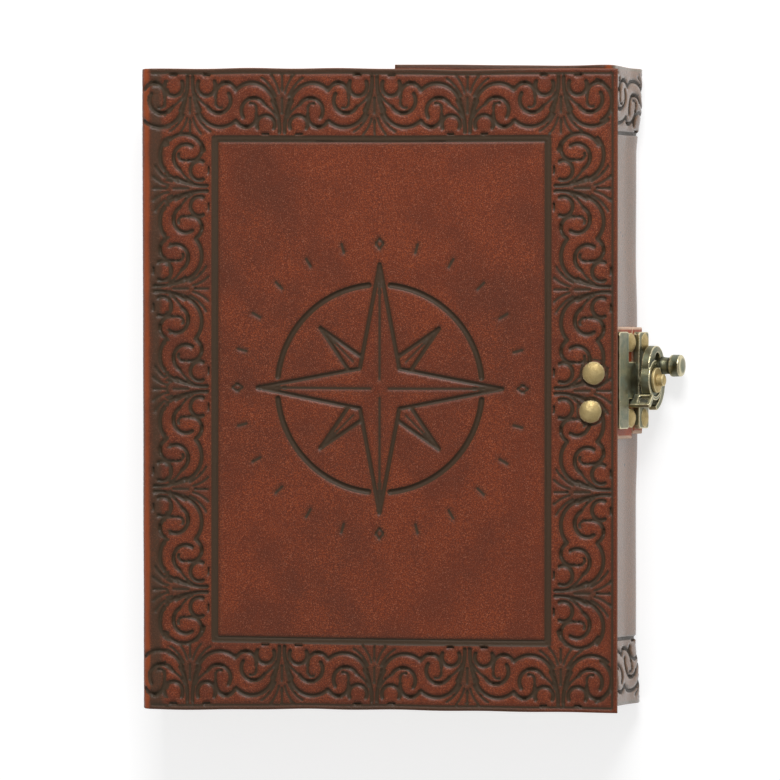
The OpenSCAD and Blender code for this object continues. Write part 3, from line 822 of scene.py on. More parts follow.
@dataclass
class Sheet:
    """A rectangle of leather laid along a path, with tooled lines and cut edges."""

    name: str
    path: Path
    s_range: tuple[float, float]
    y_range: tuple[float, float]
    thickness: float
    tooling: Tooling
    cut: tuple[bool, bool] = (True, True)
    drift: Callable[[Array, Array], Array] = lambda s, y: np.zeros_like(s)
    bulge: Callable[[Array, Array], Array] = lambda s, y: np.zeros_like(s)
    marks: dict[str, Callable[[Array, Array], Array]] = field(default_factory=dict)
    fill: float = 2.4
    ring_step: float = 0.8
    bevel: float = 0.45
    warp: float = 0.07
    ragged: float = 0.22

    # share of the bevel that a ring lies inside the cut, and its drop in half thicknesses
    RIMS = ((1.0, 0.0), (0.42, 0.1), (0.08, 0.4), (0.0, 0.85))
    # spacing of the field of places, and how near and how far from the tooled lines it is used
    GRADES = ((0.75, 0.42, 1.5), (1.3, 1.5, 3.6))

    def _ring(self, inset: float) -> Array:
        """Boundary places, shrunk by an inset on the cut sides, anticlockwise."""
        s0, s1 = self.s_range
        y0, y1 = self.y_range[0] + inset, self.y_range[1] - inset
        s0, s1 = s0 + inset * self.cut[0], s1 - inset * self.cut[1]
        ns = max(2, int((self.s_range[1] - self.s_range[0]) / self.ring_step))
        ny = max(2, int((self.y_range[1] - self.y_range[0]) / self.ring_step))
        ts, ty = np.linspace(0, 1, ns + 1), np.linspace(0, 1, ny + 1)
        sides = [
            np.column_stack([s0 + (s1 - s0) * ts[:-1], np.full(ns, y0)]),
            np.column_stack([np.full(ny, s1), y0 + (y1 - y0) * ty[:-1]]),
            np.column_stack([s1 + (s0 - s1) * ts[:-1], np.full(ns, y1)]),
            np.column_stack([np.full(ny, s0), y1 + (y0 - y1) * ty[:-1]]),
        ]
        return np.concatenate(sides)

    def _field(self, spacing: float, pad: float) -> Array:
        """An even, slightly stirred field of places with a given spacing."""
        s0, s1 = self.s_range
        y0, y1 = self.y_range
        rows = []
        for row, y in enumerate(np.arange(y0 + pad, y1 - pad, spacing * 0.866)):
            xs = np.arange(s0 + pad + 0.5 * spacing * (row % 2), s1 - pad, spacing)
            rows.append(np.column_stack([xs, np.full(len(xs), y)]))
        flat = np.concatenate(rows) if rows else np.zeros((0, 2))
        stir = [ripple(flat[:, 0], flat[:, 1], 3.1, 5), ripple(flat[:, 1], flat[:, 0], 2.7, 6)]
        flat = flat + 0.1 * spacing * np.column_stack(stir)
        low, high = np.array([s0 + pad, y0 + pad]), np.array([s1 - pad, y1 - pad])
        return np.clip(flat, low + 1e-3, high - 1e-3)

    def _inside(self, guides: Array, spacing: float, inset: float) -> Array:
        """Places inside the ring: the guides, then a field that is finer near them."""
        s0, s1 = self.s_range
        y0, y1 = self.y_range
        pad = inset + 0.4
        for a, b in self.path.turns():
            if b > s0 and a < s1:
                steps = np.linspace(max(a, s0 + pad), min(b, s1 - pad), 11)
                ys = np.arange(y0 + pad, y1 - pad, min(spacing, 2.0))
                grid = np.stack(np.meshgrid(steps, ys), -1).reshape(-1, 2)
                guides = np.concatenate([guides, grid])
        inside = np.all((guides > (s0 + pad, y0 + pad)) & (guides < (s1 - pad, y1 - pad)), axis=1)
        kept = thin(guides[inside], 0.3)
        if not len(kept):
            return self._field(spacing, pad)
        found = [kept]
        for step, near, far in (*self.GRADES, (spacing, self.GRADES[-1][2], 1e9)):
            if step > spacing:
                continue
            flat = self._field(step, pad)
            gap = nearest(kept, flat)
            found.append(flat[(gap > near) & (gap <= far)])
        return thin(np.concatenate(found), 0.28)

    def _place(self, flat: Array, height: Array) -> Array:
        """Row frame places of points on the sheet, in millimetres."""
        s, y = flat[:, 0], flat[:, 1]
        x, z, nx, nz = self.path.at(s)
        swell = self.bulge(s, y)
        h = height + swell + self.warp * ripple(s, y, 26.0, 3)
        edge = smooth(0.93, 1.0, np.abs(y) / max(abs(self.y_range[0]), abs(self.y_range[1])))
        wave = self.ragged * edge * ripple(s, np.sign(y) * 40.0, 34.0, 8)
        return np.column_stack([x + nx * h, y + self.drift(s, y) + wave, z + nz * h])

    def build(self) -> bpy.types.Object:
        """Make the sheet's closed mesh."""
        t = self.thickness
        rings = [self._ring(self.bevel * share) for share, _ in self.RIMS]
        downs = [t * drop * 0.5 for _, drop in self.RIMS]
        count = len(rings[0])
        top_inner = self._inside(self.tooling.guide_points(), self.fill, self.bevel)
        top = np.concatenate([rings[0], top_inner])
        faces = triangles(top)
        flats, heights = [top], []
        press, groove, halo = self.tooling.press(top)
        heights.append(press)
        rim_press = press[:count]
        grooves, halos = [groove], [halo]
        edges, fleshes = [np.zeros(len(top))], [np.zeros(len(top))]
        previous = 0
        start = len(top)
        upper = list(zip(rings[1:], downs[1:]))
        levels = upper + [(ring, t - down) for ring, down in upper[::-1]]
        for i, (ring, down) in enumerate(levels):
            flats.append(ring)
            fade = 1.0 - min(1.0, down / (0.6 * t))
            heights.append(rim_press * fade - down)
            grooves.append(groove[:count] * fade)
            halos.append(halo[:count] * fade)
            edges.append(np.full(count, min(1.0, 0.35 + 0.65 * i) if i else 0.45))
            fleshes.append(np.zeros(count))
            faces += ring_faces(previous, start, count)
            previous = start
            start += count
        low = np.concatenate([rings[0], self._inside(np.zeros((0, 2)), 3.6, self.bevel)])
        flats.append(low)
        heights.append(np.full(len(low), -t) + 0.06 * ripple(low[:, 0], low[:, 1], 9.0, 12))
        grooves.append(np.zeros(len(low)))
        halos.append(np.zeros(len(low)))
        edges.append(np.zeros(len(low)))
        fleshes.append(np.ones(len(low)))
        faces += [[start + i for i in reversed(f)] for f in triangles(low)]
        faces += ring_faces(previous, start, count)
        flat = np.concatenate(flats)
        points = self._place(flat, np.concatenate(heights))
        values = {
            "groove": np.concatenate(grooves),
            "halo": np.concatenate(halos),
            "edge": self._open_edges(np.concatenate(edges), flat),
            "flesh": np.concatenate(fleshes),
        }
        for key, mark in self.marks.items():
            values[key] = mark(flat[:, 0], flat[:, 1]) * (1 - values["flesh"])
        # the map is left-handed, so each face is turned over to look outwards
        piece = mesh_object(self.name, points, [f[::-1] for f in faces], values)
        self._mark_seams(piece, flat)
        LOG.info("%s: %d faces", self.name, len(piece.data.polygons))
        return piece

    def _open_edges(self, edge: Array, flat: Array) -> Array:
        """Edge colour only where the leather is cut, not at a seam with the next piece."""
        for side, s in zip(self.cut, self.s_range):
            if not side:
                hidden = np.abs(flat[:, 0] - s) < 1e-6
                within = np.abs(flat[:, 1]) < abs(self.y_range[1]) - self.bevel * 1.01
                edge = np.where(hidden & within, 0.0, edge)
        return edge

    def _mark_seams(self, piece: bpy.types.Object, flat: Array) -> None:
        """Mark the edges round a seam's hidden end sharp, so that its shade stays inside."""
        mesh = piece.data
        for side, s in zip(self.cut, self.s_range):
            if side:
                continue
            on = np.abs(flat[:, 0] - s) < 1e-6
            for edge in mesh.edges:
                a, b = edge.vertices
                if on[a] and on[b]:
                    edge.use_edge_sharp = True


def nearest(points: Array, places: Array) -> Array:
    """Distance from each place to the nearest point."""
    tree = kdtree.KDTree(len(points))
    for i, (x, y) in enumerate(points):
        tree.insert((x, y, 0.0), i)
    tree.balance()
    return np.array([tree.find((x, y, 0.0))[2] for x, y in places])


def thin(points: Array, gap: float) -> Array:
    """Drop points that lie closer than about a gap to an earlier one."""
    seen: dict[tuple[int, int], list[int]] = {}
    kept: list[int] = []
    around = [(dx, dy) for dx in (-1, 0, 1) for dy in (-1, 0, 1)]
    for i, (cx, cy) in enumerate(np.floor(points / gap).astype(int)):
        x, y = points[i]
        near = (j for dx, dy in around for j in seen.get((cx + dx, cy + dy), ()))
        if not any((x - points[j, 0]) ** 2 + (y - points[j, 1]) ** 2 < gap * gap for j in near):
            seen.setdefault((cx, cy), []).append(i)
            kept.append(i)
    return points[kept]


# The notebook


@dataclass
class Sizes:
    """Sizes of the notebook, repeated from its CAD source, in millimetres and degrees."""

    cover_w: float = 152.0
    cover_h: float = 203.0
    leather_t: float = 2.5
    fold_r: float = 4.0
    flap_fold_r: float = 3.2
    flap_depth: float = 68.0
    wall_setback: float = 3.6
    wall_slant: float = 15.0
    cover_skew: float = 1.4
    block_t: float = 23.4
    page_w: float = 142.2
    page_inset: float = 3.0
    clear: float = 0.2
    clasp_offset: float = 3.3
    tab_t: float = 2.1
    tab_h: float = 34.0
    tab_drop: float = 16.2
    tab_leg: float = 12.0
    tab_bend_r: float = 3.0
    tab_low: float = 0.15
    patch_gap: float = 0.4
    lock_w: float = 8.6
    section_count: int = 6
    thread_d: float = 0.8
    stitch_len: float = 24.0
    stitch_rows: int = 3
    stitch_pitch: float = 58.0
    cover_rivets: tuple[tuple[float, float], ...] = ((7.4, 2.3), (8.4, -9.8))
    pivot_s: float = 19.6
    hook_top: float = 8.65
    knob_at: tuple[float, float] = (6.8, 4.6)
    knob_r: float = 3.5
    knob_h: float = 4.0
    knob_top: float = 15.85
    spine_r: float = 3.0
    seam_z: float = 21.4
    seam_u: float = 6.0
    spine_bow: float = 1.2

    def __post_init__(self) -> None:
        """Work out the derived sizes as the CAD source does."""
        t = self.leather_t
        self.flap_z = t + self.block_t + self.clear
        self.flap_top = self.flap_z + t
        self.spine_x = -self.cover_w / 2
        self.hinge = (self.spine_x + t / 2, self.flap_z + t / 2)
        self.wall_x = self.cover_w / 2 - self.wall_setback
        tan = math.tan(math.radians(self.wall_slant))
        self.foot_x = self.wall_x + self.flap_top * tan
        self.wall_len = self.flap_top / math.cos(math.radians(self.wall_slant))
        self.foot_tangent = self.fold_r * math.tan(math.radians(90 + self.wall_slant) / 2)
        self.flap_tangent = self.flap_fold_r * math.tan(math.radians(90 - self.wall_slant) / 2)
        leg_end = self.wall_x - self.hinge[0] - self.tab_leg
        flap_end = self.wall_x - self.flap_depth - self.hinge[0]
        rise_leg = self.flap_top + self.clear + self.tab_t + t / 2 - self.hinge[1]
        rise_flap = self.flap_top + self.clear + t / 2 - self.hinge[1]
        self.slope = math.degrees(math.atan(max(rise_leg / leg_end, rise_flap / flap_end)))
        self.cover_len = (self.cover_w / 2 - self.hinge[0]) / math.cos(math.radians(self.slope))

    def clasp_y(self) -> float:
        """Middle of the clasp."""
        return -self.cover_skew + self.clasp_offset

    def section_heights(self) -> list[float]:
        """Heights of the middles of the folded sections."""
        pitch = self.block_t / self.section_count
        return [self.leather_t + pitch * (i + 0.5) for i in range(self.section_count)]

    def stitch_rows_y(self) -> list[float]:
        """Middles of the stitches along the spine."""
        middle = (self.stitch_rows - 1) / 2
        return [(k - middle) * self.stitch_pitch for k in range(self.stitch_rows)]

    def bow_at(self, height: Array, y: Array) -> Array:
        """How far the spine bows out at a height over the table, most at the head."""
        return self.spine_bow * (1 + 0.0025 * y) * smooth(self.fold_r, self.seam_z, height)

    def wrap_path(self) -> Path:
        """Outer face of the whole leather, from the flap's end round to the cover's fore edge."""
        slope = math.radians(self.slope)
        back = self.foot_x - self.foot_tangent - (self.spine_x + self.fold_r)
        drop = self.leather_t / 2 - self.spine_r
        u_turn = (self.spine_r - self.leather_t / 2 + drop * math.sin(slope)) / math.cos(slope)
        z_turn = self.hinge[1] + u_turn * math.sin(slope) + drop * math.cos(slope)
        turn = 90 - self.slope
        return Path(
            (self.wall_x - self.flap_depth, self.flap_top),
            0.0,
            [
                (self.flap_depth - self.flap_tangent, 0.0),
                (self.flap_fold_r * math.radians(90 - self.wall_slant), -(90 - self.wall_slant)),
                (self.wall_len - self.foot_tangent - self.flap_tangent, 0.0),
                (self.fold_r * math.radians(90 + self.wall_slant), -(90 + self.wall_slant)),
                (back, 0.0),
                (self.fold_r * math.pi / 2, -90.0),
                (z_turn - self.fold_r, 0.0),
                (self.spine_r * math.radians(turn), -turn),
                (self.cover_len - u_turn, 0.0),
            ],
        )


@dataclass
class LeatherWrap:
    """The folded leather: back, spine, fore edge wall, inner flap and front cover."""

    sizes: Sizes
    wardrobe: Wardrobe
    frame_side: float = 21.3
    frame_width: float = 108.8
    frame_half: float = 80.5
    band_middle: float = 11.1
    fan_pitch: float = 29.9
    side_stretch: float = 1.07
    fan_shift: float = 2.0
    outer_line: float = 1.5
    outer_tool: tuple[float, float] = (0.9, 0.6)
    rivet_ring: float = 4.3
    frame_lines: tuple[tuple[float, float, float], ...] = ((0.5, 1.9, 0.4), (1.55, 0.7, 0.75))
    spring: float = 2.2
    slump: float = 0.45
    lag: float = 0.5
    flap_shift: float = 0.8
    head_run: float = 0.8
    tail_run: float = 0.9
    far_inset: float = 10.4
    rose_shift: tuple[float, float] = (-0.05, 0.6)
    wall_fans: float = 15.0
    foot_spread: float = 0.7
    pattern: BorderPattern = field(default_factory=BorderPattern)
    rose: RosePattern = field(default_factory=RosePattern)

    FAN_STEPS = (-2, -1, 0, 1, 2)

    def __post_init__(self) -> None:
        """Find the places of the folds and seams along the leather."""
        z = self.sizes
        self.path = z.wrap_path()
        m = self.path.marks
        self.wall = (m[2], m[3])
        self.back = (m[4], m[5])
        self.end = m[9]
        self.seam_spine = m[7] - (z.wrap_path().states[7][1] - z.seam_z)
        self.seam_cover = self.end - (z.cover_len - z.seam_u)

    def fans(self) -> list[float]:
        """Distances of the head and tail bands' fans from the cover's fore edge."""
        middle = self.frame_side + self.frame_width / 2 + self.fan_shift
        return [middle + k * self.fan_pitch for k in self.FAN_STEPS]

    def side_middles(self) -> tuple[float, float]:
        """Distances of the two side bands' middles from the cover's fore edge."""
        return self.band_middle, self.frame_side + self.frame_width + self.far_inset

    def panel_lines(self, fore: float, side: int) -> list[Line]:
        """Border and frame of one cover panel.

        Args:
            fore: Place of the panel's fore edge along the leather.
            side: Which way the spine lies along the leather, 1 or -1.

        Returns:
            The lines in the sheet's coordinates.
        """
        half_h = self.sizes.cover_h / 2
        y_band = half_h - self.band_middle

        def at(distance: float) -> float:
            """Place along the leather at a distance from the fore edge."""
            return fore + side * distance

        lines: list[Line] = []
        near, far = at(self.frame_side), at(self.frame_side + self.frame_width)
        for offset, width, depth in self.frame_lines:
            x0, x1 = near + side * offset, far - side * offset
            y = self.frame_half - offset
            corners = [(x0, -y), (x1, -y), (x1, y), (x0, y), (x0, -y)]
            for p, q in zip(corners, corners[1:]):
                lines.append(bar_line(p, q, width, depth))
        y_out = half_h - self.outer_line
        spine_end = at(self.frame_side * 2 + self.frame_width - self.outer_line)
        fore_end = at(self.outer_line)
        lines.append(bar_line((fore_end, -y_out), (fore_end, y_out), *self.outer_tool))
        for y in (-y_out, y_out):
            lines.append(bar_line((fore_end, y), (spine_end, y), *self.outer_tool))
        fans = self.fans()
        for sign in (1, -1):
            for line in self.pattern.band(fans, (True, False)):
                p = line.points
                lines.append(line.laid(fore + side * p[:, 0], sign * (y_band + p[:, 1])))
        ends = [k * self.fan_pitch for k in self.FAN_STEPS]
        for centre, outward in zip(self.side_middles(), (-1, 1)):
            for line in self.pattern.band(ends, (True, True)):
                p = line.points
                s = at(centre) - side * outward * p[:, 1]
                lines.append(line.laid(s, p[:, 0] * self.side_stretch))
        return lines

    def rivet_rings(self) -> list[Line]:
        """Rings pressed into the cover round its rivets."""
        z = self.sizes
        return [
            arc_line(self.end - edge, z.clasp_offset + y, self.rivet_ring, 0, 360, 0.9, 0.45)
            for edge, y in z.cover_rivets
        ]

    def stitch_seats(self) -> list[Line]:
        """Shallow lines in which the stitches lie on the spine."""
        z = self.sizes
        half = z.stitch_len / 2
        foot = self.path.marks[6] - z.fold_r
        return [
            bar_line((foot + height, y - half), (foot + height, y + half), 1.1, 0.55)
            for height in z.section_heights()
            for y in z.stitch_rows_y()
        ]

    def wall_lines(self) -> list[Line]:
        """Ornament that runs over the wall at its head and tail, and the lines that end it."""
        y_band = self.sizes.cover_h / 2 - self.band_middle
        middle = (self.wall[0] + self.wall[1]) / 2
        fans = [middle - self.wall_fans, middle + self.wall_fans]
        lines: list[Line] = []
        for sign in (1, -1):
            for line in self.pattern.band(fans, (False, False)):
                p = line.points
                lines.append(line.laid(p[:, 0], sign * (y_band + p[:, 1])))
            y = sign * self.frame_half
            lines.append(bar_line((self.wall[0] - 4, y), (self.wall[1] + 6, y), 1.3, 0.7))
        return lines

    def drift(self, s: Array, y: Array) -> Array:
        """Sideways shift of the leather: the skew of cover and flap, and their uneven cut."""
        z = self.sizes
        rise = smooth(self.path.marks[6], self.seam_spine - 1.0, s)
        lag = self.lag * (1 - smooth(self.seam_cover, self.end - 60.0, s))
        flap = self.flap_shift * (1 - smooth(0.0, 60.0, s))
        across = s - self.path.marks[8]
        head = self.head_run * (1 - 0.7 * smooth(60.0, 110.0, across))
        tail = self.tail_run * (1 - smooth(10.0, 75.0, across))
        margin = smooth(z.cover_h / 2 - 8.5, z.cover_h / 2 - 0.5, np.abs(y))
        return (lag - z.cover_skew) * rise + flap + margin * rise * np.where(y > 0, head, -tail)

    def bulge(self, s: Array, y: Array) -> Array:
        """How far the wall's ends flare, its foot spreads and the spine bows outwards."""
        a, b = self.wall
        m = self.path.marks
        along = smooth(a - 12.0, a + 1.0, s) * (1 - smooth(b - 1.0, b + 9.0, s))
        away = smooth(19.0, 40.0, np.abs(y - self.sizes.clasp_y()))
        flare = self.spring * np.where(y > 0, smooth(74.0, 91.0, y), 0.6 * smooth(82.0, 93.0, -y))
        foot = smooth(b - 9.0, b, s) * (1 - smooth(b + 1.0, b + 4.5, s))
        bow = self.sizes.bow_at(s - m[6] + self.sizes.fold_r, y) * (1 - smooth(m[7], m[8] + 1.0, s))
        return along * (flare - self.slump * away) + foot * self.foot_spread + bow

    def darkening(self, s: Array, y: Array) -> Array:
        """Dark band beside the spine's bend, along the head and tail edges and over the fans."""
        d = s - self.path.marks[8]
        width = 2.6 + 0.8 * ripple(s, y, 30.0, 41)
        # darker band on the cover where it meets the spine's bend
        bend = 0.85 * np.exp(-(((d - 0.6) / width) ** 2))
        ends = 0.8 * smooth(self.sizes.cover_h / 2 - 1.9, self.sizes.cover_h / 2 - 0.7, np.abs(y))
        ends = ends * (1 - smooth(self.end - 45.0, self.end - 5.0, s))
        return np.maximum(np.maximum(bend, ends), 0.55 * self.fan_shade(s, y))

    def fan_shade(self, s: Array, y: Array) -> Array:
        """Dark wash over each fan of the front cover's border."""
        from_fore = self.end - s
        from_band = self.sizes.cover_h / 2 - self.band_middle - np.abs(y)
        total = np.zeros_like(s)

        def wash(across: Array, along: Array) -> Array:
            """Darkness at a distance across a fan and along it."""
            return np.exp(-((across / 4.5) ** 2) - (along / 8.0) ** 2)

        for fan in self.fans():
            total = np.maximum(total, wash(from_fore - fan, from_band))
        for middle in self.side_middles():
            for k in self.FAN_STEPS:
                along = y - k * self.fan_pitch * self.side_stretch
                total = np.maximum(total, wash(along, from_fore - middle))
        return total

    def wear_and_highlight(self, s: Array, y: Array) -> Array:
        """Painted highlight and wear outside the folds, and wear along the cover's fore edge."""
        total = np.zeros_like(s)
        for a, b in self.path.turns():
            total = np.maximum(total, np.exp(-(((s - 0.5 * (a + b)) / 1.3) ** 2)))
        return np.maximum(total, 0.5 * np.exp(-(((self.end - s) / 1.0) ** 2)))

    def polish_and_glare(self, s: Array, y: Array) -> Array:
        """Shine of the wall between its folds, and the painted glare that pales its colour."""
        a, b = self.wall
        return smooth(a - 2.0, a + 1.0, s) * (1 - smooth(b + 1.0, b + 6.0, s))

    def build(self) -> list[bpy.types.Object]:
        """Make the three pieces of the leather; hang the wrap and the cover on their bodies."""
        z = self.sizes
        y_range = (-z.cover_h / 2, z.cover_h / 2)

        seats = self.stitch_seats()
        middle = (self.end - z.cover_w / 2 + self.rose_shift[0], self.rose_shift[1])
        rose = [line.moved(0, middle) for line in self.rose.lines()]
        front = Tooling(self.panel_lines(self.end, -1) + rose + self.rivet_rings() + seats)
        back = Tooling(self.panel_lines(self.back[0] + 1.0, 1) + self.wall_lines() + seats)
        common = {
            "path": self.path,
            "y_range": y_range,
            "thickness": z.leather_t,
            "drift": self.drift,
            "bulge": self.bulge,
            "marks": {"darkening": self.darkening, "wear_and_highlight": self.wear_and_highlight, "polish_and_glare": self.polish_and_glare},
        }
        places = (0.0, self.seam_spine, self.seam_cover, self.end)
        wrap, strip, cover = (
            Sheet(name, s_range=places[i : i + 2], tooling=tooling, cut=cut, **common).build()
            for i, (name, tooling, cut) in enumerate(
                (
                    ("leather_wrap", back, (True, False)),
                    ("spine_fold_leather", front, (False, False)),
                    ("tooled_front_cover", front, (False, True)),
                )
            )
        )
        for piece in (wrap, strip, cover):
            self.wardrobe.dress(piece, Finish.COVER_LEATHER)
        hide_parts("cover_wrap")
        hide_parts("front_cover")
        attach(wrap, "wrap")
        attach(cover, "cover")
        low, high = (-z.cover_w / 2, z.hinge[1] - 3.25), (-z.cover_w / 2 + 4.5, z.hinge[1] + 1.25)
        low[0] * MM
        low[1] * MM
        high[0] * MM
        high[1] * MM
        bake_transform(strip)
        return [wrap, strip, cover]


@dataclass
class ClaspLeather:
    """The tab that hangs from the front cover and the patch under the lock plate."""

    sizes: Sizes
    wardrobe: Wardrobe
    tab_more: float = 1.7

    def tab_path(self) -> Path:
        """Outer face of the tab, from its leg under the cover down the wall."""
        z = self.sizes
        slant, slope = math.radians(z.wall_slant), math.radians(z.slope)
        lean = slant - slope
        top = z.tab_low + z.tab_t
        dx, dz = z.wall_x - z.hinge[0], z.flap_top - z.hinge[1]
        level = z.leather_t / 2 - dx * math.sin(slope) + dz * math.cos(slope)
        corner = (level + top * math.sin(lean)) / math.cos(lean)
        turn = 90 - z.wall_slant + z.slope
        tangent = z.tab_bend_r * math.tan(math.radians(turn) / 2)
        s_mid, h_mid = corner + tangent, top - z.tab_bend_r
        mid = np.array(
            [
                z.wall_x + s_mid * math.sin(slant) + h_mid * math.cos(slant),
                z.flap_top - s_mid * math.cos(slant) + h_mid * math.sin(slant),
            ]
        )
        out = math.radians(90 + z.slope)
        start = mid + z.tab_bend_r * np.array([math.cos(out), math.sin(out)])
        start = start - z.tab_leg * np.array([math.cos(slope), math.sin(slope)])
        run = z.tab_drop - s_mid
        return Path(
            (float(start[0]), float(start[1])),
            z.slope,
            [(z.tab_leg, 0.0), (z.tab_bend_r * math.radians(turn), -turn), (run, 0.0)],
        )

    def patch_path(self) -> Path:
        """Outer face of the patch, down the wall."""
        z = self.sizes
        slant = math.radians(z.wall_slant)
        high = 2 * z.tab_low + z.tab_t
        s = z.tab_drop + z.patch_gap
        start = (
            z.wall_x + s * math.sin(slant) + high * math.cos(slant),
            z.flap_top - s * math.cos(slant) + high * math.sin(slant),
        )
        return Path(start, z.wall_slant - 90, [(z.lock_w, 0.0)])

    def build(self) -> list[bpy.types.Object]:
        """Make both pieces."""
        z = self.sizes
        made = []
        high = z.tab_h / 2
        patch_t = 2 * z.tab_low + z.tab_t
        tab, patch = self.tab_path(), self.patch_path()
        tab_tail = -high - self.tab_more
        for name, path, thick, body, node, tail in (
            ("clasp_tab_leather", tab, z.tab_t, "cover", "clasp_tab", tab_tail),
            ("catch_patch_leather", patch, patch_t, "wrap", "catch_patch", -high),
        ):

            def raw(s: Array, y: Array, low: float = tail) -> Array:
                """Raw leather along the cut ends."""
                return smooth(high - 1.1, high - 0.7, y) + 1 - smooth(low + 0.7, low + 1.1, y)

            sheet = Sheet(
                name,
                path,
                (0.0, path.length),
                (tail, high),
                thick,
                Tooling(),
                drift=lambda s, y: np.full_like(s, z.clasp_y()),
                marks={"raw": raw},
                fill=0.9,
                ring_step=0.6,
                bevel=0.4,
            )
            piece = sheet.build()
            self.wardrobe.dress(piece, Finish.TAB_LEATHER)
            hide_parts(node)
            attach(piece, body)
            made.append(piece)
        return made


@dataclass
class PageBlock:
    """Folded sections of deckled paper."""

    sizes: Sizes
    wardrobe: Wardrobe
    sheets: int = 6
    gap: float = 0.06
    section_gap: float = 0.1
    creep: float = 0.8
    short_run: float = 0.5
    short_half: float = 0.7
    thinnest: float = 0.02

    def build(self) -> bpy.types.Object:
        """Make every folded sheet as a closed strip, all in one piece."""
        z = self.sizes
        section = z.block_t / z.section_count
        points, faces, edges = [], [], []
        start = 0
        rng = np.random.default_rng(11)
        x_left = z.spine_x + z.leather_t + z.clear
        for i in range(z.section_count):
            middle = z.leather_t + section * (i + 0.5)
            leaf = (section - self.section_gap) / (2 * self.sheets) - self.gap
            for k in range(self.sheets):
                outer = section / 2 - self.gap / 2 - k * (leaf + self.gap)
                inner = outer - leaf
                cut = rng.uniform(0.0, self.short_run)
                reach = z.page_w - 1.0 + self.creep * k / self.sheets - cut
                half = z.cover_h / 2 - z.page_inset - rng.uniform(0.0, self.short_half)
                inner = max(inner, self.thinnest)
                run = reach - section / 2
                seed = i * 10 + k
                p, f, e = self._folded(x_left + section / 2, middle, outer, inner, run, half, seed)
                points.append(p)
                faces += [[start + v for v in q] for q in f]
                edges.append(e)
                start += len(p)
        values = {"edge": np.concatenate(edges)}
        piece = mesh_object("deckled_pages", np.concatenate(points), faces, values)
        self.wardrobe.dress(piece, Finish.PAPER)
        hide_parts("text_block")
        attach(piece, "wrap")
        LOG.info("deckled_pages: %d faces", len(piece.data.polygons))
        return piece

    def _folded(
        self,
        x_fold: float,
        z_mid: float,
        outer: float,
        inner: float,
        run: float,
        half: float,
        seed: int,
    ) -> tuple[Array, list[list[int]], Array]:
        """One folded sheet: a U section swept along the page height."""
        flat = 26
        bend = np.linspace(math.pi / 2, 3 * math.pi / 2, 9)
        xs = np.linspace(run, 0, flat)[:-1]

        def profile(height: float) -> Array:
            """Section of one face: along the upper leaf, round the fold and back below."""
            upper = [(x, height) for x in xs]
            fold = [(height * math.cos(a), height * math.sin(a)) for a in bend]
            lower = [(x, -height) for x in xs[::-1]]
            return np.array(upper + fold + lower)

        out, inn = profile(outer), profile(inner)
        count = len(out)
        ys = np.array([-1.0, -0.994, -0.97, -0.5, 0.0, 0.5, 0.97, 0.994, 1.0]) * half
        points, edge = [], []
        for y in ys:
            for loop in (out, inn):
                x = loop[:, 0] + x_fold
                tip = smooth(run - 1.5, run, loop[:, 0])
                x = x + tip * 0.45 * ripple(np.full(count, y), loop[:, 1] * 9, 7.0, seed)
                at_end = float(abs(y) > 0.98 * half)
                torn = 0.4 * ripple(loop[:, 0], np.sign(loop[:, 1]) * 9, 9.0, seed + 1) - 0.35
                sag = 0.02 * ripple(loop[:, 0], np.full(count, y), 60.0, 3)
                across = y + at_end * np.sign(y) * torn
                points.append(np.column_stack([x, across, loop[:, 1] + z_mid + sag]))
                edge.append(np.maximum(tip, at_end))
        faces = []
        rows = len(ys)

        def at(row: int, side: int, i: int) -> int:
            """Number of a corner."""
            return (row * 2 + side) * count + i

        for row in range(rows - 1):
            for i in range(count - 1):
                j, up = i + 1, row + 1
                faces.append([at(row, 0, i), at(row, 0, j), at(up, 0, j), at(up, 0, i)])
                faces.append([at(row, 1, j), at(row, 1, i), at(up, 1, i), at(up, 1, j)])
            for i in (0, count - 1):
                quad = [at(row, 0, i), at(row + 1, 0, i), at(row + 1, 1, i), at(row, 1, i)]
                faces.append(quad if i == 0 else quad[::-1])
        last = rows - 1
        for i in range(count - 1):
            faces.append([at(0, 0, i + 1), at(0, 0, i), at(0, 1, i), at(0, 1, i + 1)])
            faces.append([at(last, 0, i), at(last, 0, i + 1), at(last, 1, i + 1), at(last, 1, i)])
        return np.concatenate(points), faces, np.concatenate(edge)


